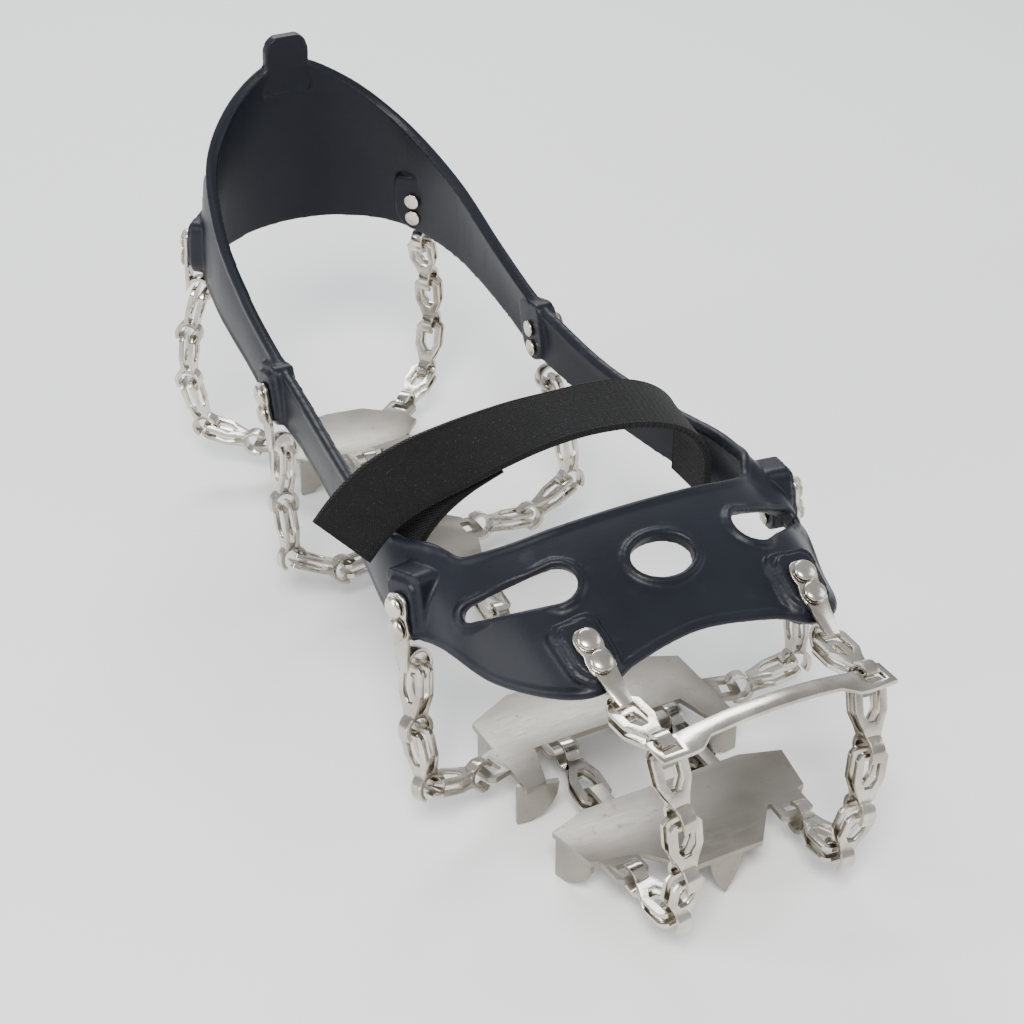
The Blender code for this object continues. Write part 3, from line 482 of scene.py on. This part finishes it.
def make_links(finish):
    """Every link, where its joint and its solid put it."""
    model = link_model()
    for name in sorted(frame["nodes"]):
        if "chain" not in name and "spine" not in name and "toe_link" not in name:
            continue
        joint = joint_of(name)
        pivot = Vector(joint["pos_m"])
        width = Vector(joint["axis"]).normalized()
        along = face_centre(frame["nodes"][name]) - pivot
        along = (along - width * along.dot(width)).normalized()
        turn = Matrix((along, width, along.cross(width))).transposed().to_4x4()
        obj = copy_at(model, name + "_steel", Matrix.Translation(pivot) @ turn)
        finish_piece(obj, finish, name, name)
    bpy.data.objects.remove(model)


# ---------------------------------------------------------------- clips

def curl(start, centre_x, radius, wide, width, gauge):
    """Strip along X at z = 0 that curls down round an eye below it."""
    bpy.ops.object.select_all(action="DESELECT")
    bpy.ops.mesh.primitive_plane_add(size=1.0)
    strip = bpy.context.object
    for v in strip.data.vertices:
        v.co = Vector((start, v.co.y * wide, 0) if v.co.x < 0 else (centre_x, v.co.y * width, 0)) * MM
    bpy.ops.object.mode_set(mode="EDIT")
    choose(strip, "edges", lambda m: m.x > centre_x - 0.01)
    bpy.ops.mesh.spin(steps=16, angle=radians(285), center=(centre_x * MM, 0, -radius * MM), axis=(0, 1, 0))
    bpy.ops.object.mode_set(mode="OBJECT")
    outward(strip)
    modify(strip, "SOLIDIFY", thickness=gauge * MM, offset=0.0, use_even_offset=True)
    outward(strip)
    modify(strip, "BEVEL", width=0.25 * MM, segments=2, limit_method="ANGLE", angle_limit=CORNER)
    return strip


def dome(x, base):
    """Rivet head: a low polished dome on a short rim."""
    bpy.ops.object.select_all(action="DESELECT")
    bpy.ops.mesh.primitive_uv_sphere_add(segments=28, ring_count=14, radius=RIVET_HEAD / 2 * MM)
    head = bpy.context.object
    bpy.ops.object.mode_set(mode="EDIT")
    bpy.ops.mesh.select_all(action="SELECT")
    bpy.ops.mesh.bisect(plane_co=(0, 0, 0), plane_no=(0, 0, 1), clear_inner=True, use_fill=True)
    bpy.ops.mesh.select_all(action="SELECT")
    bpy.ops.transform.resize(value=(1, 1, RIVET_DOME / (RIVET_HEAD / 2)))
    bpy.ops.object.mode_set(mode="OBJECT")
    head.data.transform(Matrix.Translation(Vector((x, 0, base)) * MM))
    rim = disc(28, RIVET_HEAD / 2, RIVET_RIM, x, base - 0.1, 0.12, 2)
    return merge(head, rim)


def clip_model():
    """Clip in its lug's axes: X to the chain, Y its width, Z outwards from the wall."""
    half = CLIP_WIDTH / 2
    reach = RIVET_PITCH / 2 + half
    bpy.ops.object.select_all(action="DESELECT")
    bpy.ops.mesh.primitive_cube_add(size=1.0)
    plate = bpy.context.object
    for v in plate.data.vertices:
        v.co = Vector((v.co.x * 2 * reach, v.co.y * CLIP_WIDTH, CLIP_FACE + v.co.z * CLIP_GAUGE)) * MM
    bpy.ops.object.mode_set(mode="EDIT")
    choose(plate, "edges", lambda m: abs(m.x) > reach - 0.1 and abs(m.y) > half - 0.1)
    bpy.ops.mesh.bevel(offset=half * 0.8 * MM, segments=6)
    choose(plate, "edges", lambda m: abs(m.x) < 0.5 and abs(m.y) > half - 0.1)
    bpy.ops.mesh.subdivide(number_cuts=3)
    choose(plate, "verts", lambda m: abs(m.x) < 0.4 and abs(m.y) > half - 0.2)
    bpy.ops.transform.resize(value=(1, 0.86, 1))
    bpy.ops.object.mode_set(mode="OBJECT")
    outward(plate)
    modify(plate, "BEVEL", width=0.3 * MM, segments=3, limit_method="ANGLE", angle_limit=radians(40))
    neck = curl(2.0, RIVET_TO_EYE, EYE_RADIUS, CLIP_WIDTH * 0.95, NECK_WIDTH, CLIP_GAUGE * 0.96)
    neck.data.transform(Matrix.Translation(Vector((0, 0, CLIP_FACE)) * MM))
    top = CLIP_FACE + CLIP_GAUGE / 2
    domes = [dome(spot, top) for spot in (-RIVET_PITCH / 2, RIVET_PITCH / 2)]
    across, thick = RIVET_BACK
    backs = [disc(24, across / 2, thick, spot, -LUG_BACK - 0.7, 0.25, 3)
             for spot in (-RIVET_PITCH / 2, RIVET_PITCH / 2)]
    return merge(plate, neck, *domes, *backs)


def lug_places():
    """Placement of every clip: X to the chain, Y its width, Z outwards."""
    centre = (cad_low + cad_high) / 2
    places = {}
    for name, solid in frame["nodes"].items():
        if not name.startswith("clip_"):
            continue
        _, where, side = name.split("_")
        joint = joint_of(f"{where}_chain_{side}_1")
        eye = Vector(joint["pos_m"])
        width = Vector(joint["axis"]).normalized()
        areas = {}
        for face in solid.data.polygons:
            key = tuple(round(c, 2) for c in face.normal)
            areas[key] = areas.get(key, 0.0) + face.area
        best = None
        for key in sorted(areas, key=areas.get, reverse=True)[:6]:
            normal = Vector(key).normalized()
            if abs(normal.dot(width)) < 0.05 and normal.dot(face_centre(solid) - centre) > 0:
                best = normal
                break
        out = (best - width * best.dot(width)).normalized()
        along = out.cross(width).normalized()
        if along.dot(eye - face_centre(solid)) < 0:
            along = -along
        origin = eye - along * RIVET_TO_EYE * MM - out * (CLIP_FACE - EYE_RADIUS) * MM
        turn = Matrix((along, out.cross(along), out)).transposed().to_4x4()
        places[name] = Matrix.Translation(origin) @ turn
    return places


def make_clips(finish, places):
    """Every clip, riveted to its lug."""
    model = clip_model()
    for name, placement in sorted(places.items()):
        obj = copy_at(model, name + "_steel", placement)
        finish_piece(obj, finish, ROOT, name)
    bpy.data.objects.remove(model)


# ---------------------------------------------------------------- plates and toe bar

def make_pressed(name, finish, body, edge):
    """A flat pressed piece: its solid with flat faces joined up and its edges rounded."""
    solid = frame["nodes"][name]
    obj = solid.copy()
    obj.data = solid.data.copy()
    obj.name = name + "_steel"
    obj.parent = None
    for key in list(obj.keys()):
        del obj[key]
    bpy.context.scene.collection.objects.link(obj)
    only(obj)
    bpy.ops.object.mode_set(mode="EDIT")
    bpy.ops.mesh.select_all(action="SELECT")
    bpy.ops.mesh.remove_doubles(threshold=0.00001)
    bpy.ops.mesh.dissolve_limited(angle_limit=radians(0.6))
    bpy.ops.object.mode_set(mode="OBJECT")
    modify(obj, "BEVEL", width=edge * MM, segments=2, limit_method="ANGLE", angle_limit=radians(40),
           use_clamp_overlap=True)
    return finish_piece(obj, finish, body, name, 32.0)


# ---------------------------------------------------------------- harness

# Ribs from the toe centre round the right side to the heel centre. Each gives its
# lower and upper end as shares of the boot and a height, and how far it bows out.
RIBS = (
    ((0.000, -0.753, 59.5), (0.000, -0.507, 75.0), 2.0),
    ((0.380, -0.775, 58.0), (0.360, -0.503, 74.0), 2.0),
    ((0.563, -0.800, 55.5), (0.550, -0.490, 71.5), 2.0),
    ((0.720, -0.765, 53.5), (0.680, -0.470, 69.0), 2.2),
    ((0.880, -0.640, 49.5), (0.790, -0.435, 66.0), 2.4),
    ((0.985, -0.530, 51.5), (0.868, -0.385, 67.5), 2.0),
    ((1.030, -0.440, 48.0), (0.920, -0.320, 65.0), 1.6),
    ((1.015, -0.340, 46.0), (0.940, -0.240, 63.5), 1.2),
    ((0.940, -0.190, 45.5), (0.895, -0.100, 62.0), 1.0),
    ((0.850, 0.040, 46.0), (0.830, 0.100, 62.0), 1.0),
    ((0.805, 0.230, 48.5), (0.795, 0.280, 65.5), 1.0),
    ((0.800, 0.370, 50.0), (0.785, 0.390, 68.5), 1.0),
    ((0.795, 0.530, 56.5), (0.777, 0.550, 77.0), 1.0),
    ((0.765, 0.730, 62.0), (0.740, 0.720, 90.0), 1.2),
    ((0.640, 0.920, 64.0), (0.600, 0.880, 104.0), 1.6),
    ((0.350, 1.008, 65.5), (0.330, 0.965, 118.0), 1.8),
    ((0.000, 1.035, 66.0), (0.000, 0.990, 126.0), 2.0),
)
RIB_STEPS = 8
ROWS = 16


def on_boot(across, along, height):
    """Point on the boot: shares of its half width and half length, and a height."""
    return Vector((across * BOOT_WIDTH / 2, along * BOOT_LENGTH / 2, height))


def flip(vector, side):
    """Mirror a right-hand vector to the wanted side: +1 right, -1 left."""
    return Vector((vector.x * side, vector.y, vector.z))


def ring_curve(points, steps):
    """Smooth closed curve through the points."""
    count = len(points)
    result = []
    for i in range(count):
        a, b, c, d = (points[(i + k) % count] for k in (-1, 0, 1, 2))
        result += [between(a, b, c, d, step / steps) for step in range(steps)]
    return result


def wall_grid():
    """Middle surface of the wall and its outward normals, by column and row."""
    right = [(on_boot(*low), on_boot(*high), bow) for low, high, bow in RIBS]
    ring = right + [(flip(low, -1), flip(high, -1), bow) for low, high, bow in right[-2:0:-1]]
    lows = ring_curve([r[0] for r in ring], RIB_STEPS)
    highs = ring_curve([r[1] for r in ring], RIB_STEPS)
    bows = [b.x for b in ring_curve([Vector((r[2], 0, 0)) for r in ring], RIB_STEPS)]
    count = len(lows)
    grid = []
    for c in range(count):
        along = lows[(c + 1) % count] + highs[(c + 1) % count] - lows[c - 1] - highs[c - 1]
        out = along.cross(highs[c] - lows[c]).normalized()
        grid.append([lows[c].lerp(highs[c], row / ROWS) + out * bows[c] * 4 * row / ROWS * (1 - row / ROWS)
                     for row in range(ROWS + 1)])
    normals = []
    for c in range(count):
        normals.append([(grid[(c + 1) % count][row] - grid[c - 1][row]).cross(
            grid[c][min(row + 1, ROWS)] - grid[c][max(row - 1, 0)]).normalized() for row in range(ROWS + 1)])
    return grid, normals


def wall_shell(grid, normals):
    """Closed wall of the harness ring."""
    count = len(grid)
    rows = ROWS + 1
    verts = [grid[c][row] + normals[c][row] * side * WALL / 2
             for side in (1, -1) for c in range(count) for row in range(rows)]

    def at(side, c, row):
        return side * count * rows + (c % count) * rows + row

    faces = []
    for c in range(count):
        for row in range(ROWS):
            faces.append((at(0, c, row), at(0, c + 1, row), at(0, c + 1, row + 1), at(0, c, row + 1)))
            faces.append((at(1, c, row), at(1, c, row + 1), at(1, c + 1, row + 1), at(1, c + 1, row)))
        faces.append((at(0, c, 0), at(1, c, 0), at(1, c + 1, 0), at(0, c + 1, 0)))
        faces.append((at(0, c, ROWS), at(0, c + 1, ROWS), at(1, c + 1, ROWS), at(1, c, ROWS)))
    return mesh_object("wall", verts, faces)


def tube(name, points, radius, closed, sides=10):
    """Round tube through points."""
    curve = bpy.data.curves.new(name, "CURVE")
    curve.dimensions = "3D"
    curve.bevel_depth = radius * MM
    curve.bevel_resolution = (sides - 4) // 2
    curve.use_fill_caps = True
    line = curve.splines.new("POLY")
    line.points.add(len(points) - 1)
    for spot, point in zip(line.points, points):
        spot.co = (*(point * MM), 1.0)
    line.use_cyclic_u = closed
    obj = bpy.data.objects.new(name, curve)
    bpy.context.scene.collection.objects.link(obj)
    only(obj)
    bpy.ops.object.convert(target="MESH")
    return bpy.context.object


def oval(length, width, tip, steps):
    """Outline of a hole: an ellipse, or a round big end and a small end whose size is a share of it."""
    big = width / 2
    small = big * tip
    reach = length / 2
    if tip == 1.0:
        turns = [2 * pi * i / (2 * steps) for i in range(2 * steps)]
        return [(reach * cos(a), big * sin(a)) for a in turns]
    points = []
    for i in range(steps + 1):
        a = radians(-90 + 180 * i / steps)
        points.append((reach - small + small * cos(a), small * sin(a)))
    for i in range(steps + 1):
        a = radians(90 + 180 * i / steps)
        points.append((-reach + big + big * cos(a), big * sin(a)))
    return points


def hole_places():
    """Outline and placement in millimetres of the three panel holes."""
    found = []
    up = Vector((0, 0.93, 0.37))
    for length, width, tip, centre, run in (
            (*CENTRE_HOLE, 1.0, on_boot(0.0, -0.625, 69.0), Vector((1, 0, 0))),
            (*SIDE_HOLE, 0.5, on_boot(0.655, -0.575, 63.5), Vector((0.86, 0.40, -0.33))),
            (*SIDE_HOLE, 0.5, on_boot(-0.655, -0.575, 63.5), Vector((-0.86, 0.40, -0.33)))):
        x = run.normalized()
        z = x.cross(up).normalized()
        turn = Matrix((x, z.cross(x), z)).transposed().to_4x4()
        found.append((oval(length, width, tip, 20), Matrix.Translation(centre) @ turn))
    return found


def hole_rim(wall, outline, placement, outside):
    """Points round a hole, on the wall's face that looks outside."""
    points = []
    axis = (placement.to_3x3() @ Vector((0, 0, 1))).normalized()
    if axis.dot(outside) < 0:
        axis = -axis
    for x, y in outline:
        spot = placement @ Vector((x, y, 0))
        middle = placement.translation
        away = (spot - middle).normalized()
        start = spot + away * HOLE_BEAD * 0.9 + axis * 14
        hit, place, _, _ = wall.ray_cast(start * MM, -axis)
        if hit:
            points.append(place / MM)
    return points


def lug_pad(placement, width, head, tail, low, high):
    """Rounded pad on a lug."""
    radius = width / 2
    outline = [(tail - radius + radius * cos(a), radius * sin(a))
               for a in [radians(-90 + 15 * i) for i in range(13)]]
    for first, y in ((90, radius - LUG_CORNER), (180, -radius + LUG_CORNER)):
        for i in range(5):
            a = radians(first + 22.5 * i)
            outline.append((-head + LUG_CORNER + LUG_CORNER * cos(a), y + LUG_CORNER * sin(a)))
    return prism("pad", outline, low, high, lambda v: placement @ (v * MM) / MM)


def make_harness(finish, places):
    """Moulded harness: wall, edge beads, hole rims, lugs, heel ridges and pull tab in one skin."""
    grid, normals = wall_grid()
    count = len(grid)
    wall = wall_shell(grid, normals)
    outward(wall)
    bpy.context.view_layer.update()
    rims = []
    holes = hole_places()
    for outline, placement in holes:
        points = hole_rim(wall, outline, placement, Vector((0, -0.4, 0.9)))
        rims.append(tube("rim", points, HOLE_BEAD, True))
    for outline, placement in holes:
        cutter = prism("hole", outline, -HOLE_DEPTH, HOLE_DEPTH, lambda v: placement @ v)
        modify(wall, "BOOLEAN", operation="DIFFERENCE", solver="EXACT", object=cutter)
        bpy.data.objects.remove(cutter)
    pieces = list(rims)
    for row, inset in ((0, BEAD_INSET), (ROWS, -BEAD_INSET)):
        line = []
        for c in range(count):
            step = grid[c][min(row + 1, ROWS)] - grid[c][max(row - 1, 0)]
            line.append(grid[c][row] + step.normalized() * inset + normals[c][row] * BEAD_RAISE)
        pieces.append(tube("bead", line, BEAD, True))
    for placement in places.values():
        pieces.append(lug_pad(placement, LUG_WIDTH, LUG_HEAD, LUG_TAIL, -LUG_BACK, LUG_RAISE - LUG_STEP))
        pieces.append(lug_pad(placement, LUG_WIDTH - 2 * LUG_STEP_INSET, LUG_HEAD - LUG_STEP_HEAD,
                              LUG_TAIL - LUG_STEP_INSET, -LUG_BACK, LUG_RAISE))
    middle = RIB_STEPS * (len(RIBS) - 1)
    for shift in RIDGES:
        c = (middle + shift) % count
        line = [grid[c][row] + normals[c][row] * (WALL / 2 + 0.05) for row in range(4, ROWS - 3)]
        pieces.append(tube("ridge", line, RIDGE_RADIUS, False, 8))
    pieces.append(heel_tab())
    skin = merge(wall, *pieces)
    skin.name = "harness_elastomer"
    modify(skin, "REMESH", mode="VOXEL", voxel_size=VOXEL * MM, adaptivity=0.0)
    modify(skin, "SMOOTH", factor=0.5, iterations=4)
    modify(skin, "DECIMATE", ratio=KEPT_FACES)
    outward(skin)
    finish_piece(skin, finish, ROOT, "harness", 60.0)
    return skin


def heel_tab():
    """Pull tab standing up from the heel centre."""
    outline = [(-8.0, -9.0), (8.0, -9.0), (7.6, 6.0), (6.6, 9.2), (4.2, 11.0),
               (-4.2, 11.0), (-6.6, 9.2), (-7.6, 6.0)]
    foot = on_boot(0.0, 0.992, 124.0)
    x = Vector((-1, 0, 0))
    up = Vector((0, -0.08, 1)).normalized()
    z = x.cross(up).normalized()
    placement = Matrix.Translation(foot) @ Matrix((x, up, z)).transposed().to_4x4()
    return prism("tab", outline, -TAB_GAUGE / 2, TAB_GAUGE / 2, lambda v: placement @ v)


# ---------------------------------------------------------------- strap

STRAP = (
    ((-1.190, -0.270, 64.5), (0, 0.46, 0.89)),
    ((-1.085, -0.268, 70.5), (0, 0.50, 0.87)),
    ((-0.950, -0.267, 75.8), (0, 0.58, 0.81)),
    ((-0.780, -0.268, 79.3), (0, 0.68, 0.73)),
    ((-0.590, -0.272, 82.0), (0, 0.80, 0.60)),
    ((-0.400, -0.278, 84.5), (0, 0.90, 0.44)),
    ((-0.200, -0.284, 86.5), (0, 0.95, 0.31)),
    ((0.000, -0.286, 87.0), (0, 0.97, 0.24)),
    ((0.200, -0.284, 86.3), (0, 0.96, 0.27)),
    ((0.400, -0.278, 84.0), (0, 0.95, 0.31)),
    ((0.580, -0.270, 79.5), (0, 0.95, 0.31)),
    ((0.720, -0.260, 73.0), (0, 0.96, 0.27)),
    ((0.805, -0.250, 65.0), (0, 0.98, 0.20)),
    ((0.835, -0.240, 56.0), (0, 1.00, 0.05)),
    ((0.840, -0.236, 47.5), (0, 1.00, 0.00)),
)
ANCHOR = (
    ((-0.400, -0.270, 81.2), (0, 0.90, 0.44)),
    ((-0.560, -0.262, 76.8), (0, 0.90, 0.44)),
    ((-0.690, -0.255, 71.0), (0, 0.92, 0.38)),
    ((-0.780, -0.248, 64.0), (0, 0.96, 0.28)),
    ((-0.825, -0.240, 56.0), (0, 1.00, 0.10)),
    ((-0.840, -0.236, 47.5), (0, 1.00, 0.00)),
)


def open_curve(points, steps):
    """Smooth open curve through the points."""
    count = len(points)
    result = []
    for i in range(count - 1):
        a, b, c, d = (points[min(max(i + k, 0), count - 1)] for k in (-1, 0, 1, 2))
        result += [between(a, b, c, d, step / steps) for step in range(steps)]
    return result + [points[-1].copy()]


def webbing(name, table, width, gauge, steps=10):
    """Webbing with thick selvedges and softly rounded faces, and a UV map in millimetres."""
    middles = open_curve([on_boot(*m) for m, _ in table], steps)
    acrosses = open_curve([Vector(a) for _, a in table], steps)
    cells = 24
    profile = []
    for side in (1, -1):
        for i in range(cells + 1):
            share = side * (1 - 2 * i / cells)
            rim = max(0.0, 1 - (1 - abs(share)) * 9)
            lip = 0.5 + 0.10 * (1 - rim) * rim * 4 - 0.28 * rim ** 3
            profile.append((share * width / 2, side * gauge * lip))
    verts = []
    runs = []
    far = 0.0
    last = len(middles) - 1
    for i, (middle, across) in enumerate(zip(middles, acrosses)):
        run = (middles[min(i + 1, last)] - middles[max(i - 1, 0)]).normalized()
        across = (across - run * across.dot(run)).normalized()
        face = run.cross(across)
        if i:
            far += (middle - middles[i - 1]).length
        runs.append(far)
        verts += [middle + across * y + face * z for y, z in profile]
    size = len(profile)
    faces = []
    for i in range(last):
        for k in range(size):
            j = (k + 1) % size
            faces.append((size * i + k, size * i + j, size * i + size + j, size * i + size + k))
    faces.append(tuple(reversed(range(size))))
    faces.append(tuple(size * last + k for k in range(size)))
    obj = mesh_object(name, verts, faces)
    layer = obj.data.uv_layers.new(name="weave")
    for face in obj.data.polygons:
        for corner in face.loop_indices:
            v = obj.data.loops[corner].vertex_index
            layer.data[corner].uv = (runs[v // size], profile[v % size][0])
    outward(obj)
    return obj, far


def make_strap():
    """Instep strap with its loose tail in one length of webbing, and the anchor below it."""
    strap, length = webbing("strap_webbing", STRAP, STRAP_WIDTH, STRAP_GAUGE)
    only(strap)
    bpy.ops.object.shade_smooth_by_angle(angle=radians(50))
    strap.data.materials.append(webbing_finish("loop_webbing", 1.0))
    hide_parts("strap_body", "strap_tail")
    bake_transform(strap)
    anchor, anchor_length = webbing("anchor_webbing", ANCHOR, ANCHOR_WIDTH, ANCHOR_GAUGE)
    finish_piece(anchor, webbing_finish("hook_webbing", 0.4), ROOT, "strap_anchor", 50.0)


# ---------------------------------------------------------------- studio

def area_light(name, place, target, size, power, colour=(1, 1, 1)):
    """Soft square light aimed at a point."""
    data = bpy.data.lights.new(name, "AREA")
    data.shape = "RECTANGLE"
    data.size, data.size_y = size
    data.energy = power
    data.color = colour
    obj = bpy.data.objects.new(name, data)
    obj.location = place
    obj.rotation_euler = (Vector(target) - Vector(place)).to_track_quat("-Z", "Y").to_euler()
    bpy.context.scene.collection.objects.link(obj)


def studio():
    """Pale floor, soft lights, even surroundings and the camera."""
    bpy.ops.object.select_all(action="DESELECT")
    bpy.ops.mesh.primitive_plane_add(size=8.0, location=(0, 0, cad_low.z - 0.0004))
    floor = bpy.context.object
    floor.name = "floor"
    paper, tree, shader, place = new_material("pale_paper", specular=0.2)
    tone = noise(tree, place, 400.0, 2.0)
    pale = blend_colours(tree, tone, (0.86, 0.86, 0.86), (0.90, 0.90, 0.90))
    connect(tree, pale, shader.inputs["Base Color"])
    shader.inputs["Roughness"].default_value = 0.7
    floor.data.materials.append(paper)
    world = bpy.data.worlds.new("studio")
    world.use_nodes = True
    world.node_tree.nodes["Background"].inputs["Color"].default_value = (0.93, 0.95, 1.0, 1.0)
    world.node_tree.nodes["Background"].inputs["Strength"].default_value = 0.66
    bpy.context.scene.world = world
    aim = (0, -0.02, 0.04)
    area_light("key", (-0.45, -0.75, 1.05), aim, (0.42, 0.42), 22.0, (1.0, 0.98, 0.95))
    area_light("fill", (0.95, -0.45, 0.55), aim, (0.6, 0.6), 3.0)
    area_light("back", (0.25, 0.95, 0.9), aim, (0.9, 0.3), 11.0, (0.95, 0.97, 1.0))
    area_light("left_strip", (-1.0, 0.15, 0.4), aim, (0.16, 0.9), 6.0)
    azimuth = radians(CAMERA_ROUND)
    elevation = radians(CAMERA_ABOVE)
    data = bpy.data.cameras.new("camera")
    data.lens = CAMERA_LENS
    data.sensor_width = 36.0
    camera = bpy.data.objects.new("camera", data)
    way = Vector((-sin(azimuth) * cos(elevation), -cos(azimuth) * cos(elevation), sin(elevation)))
    camera.location = CAMERA_AIM + way * CAMERA_AWAY
    camera.rotation_euler = (-way).to_track_quat("-Z", "Y").to_euler()
    bpy.context.scene.collection.objects.link(camera)
    bpy.context.scene.camera = camera


polished = steel("stainless_steel", (0.70, 0.66, 0.58), (0.36, 0.33, 0.28), 0.12, 0.09)
satin = steel("plate_steel", (0.36, 0.335, 0.295), (0.29, 0.268, 0.232), 0.30, 0.22)
lugs = lug_places()
make_harness(elastomer(), lugs)
make_clips(polished, lugs)
make_links(polished)
for plate_name, plate_body in (("front_plate", "front_plate"), ("ball_plate", ROOT),
                               ("arch_plate", ROOT), ("heel_plate", "heel_plate")):
    make_pressed(plate_name, satin, plate_body, 0.28)
bar = make_pressed("toe_bar", polished, "front_chain_left_1", 0.40)
bar.data.transform(Matrix.Translation((0, 0, TOE_BAR_LIFT * MM)))
make_strap()
studio()
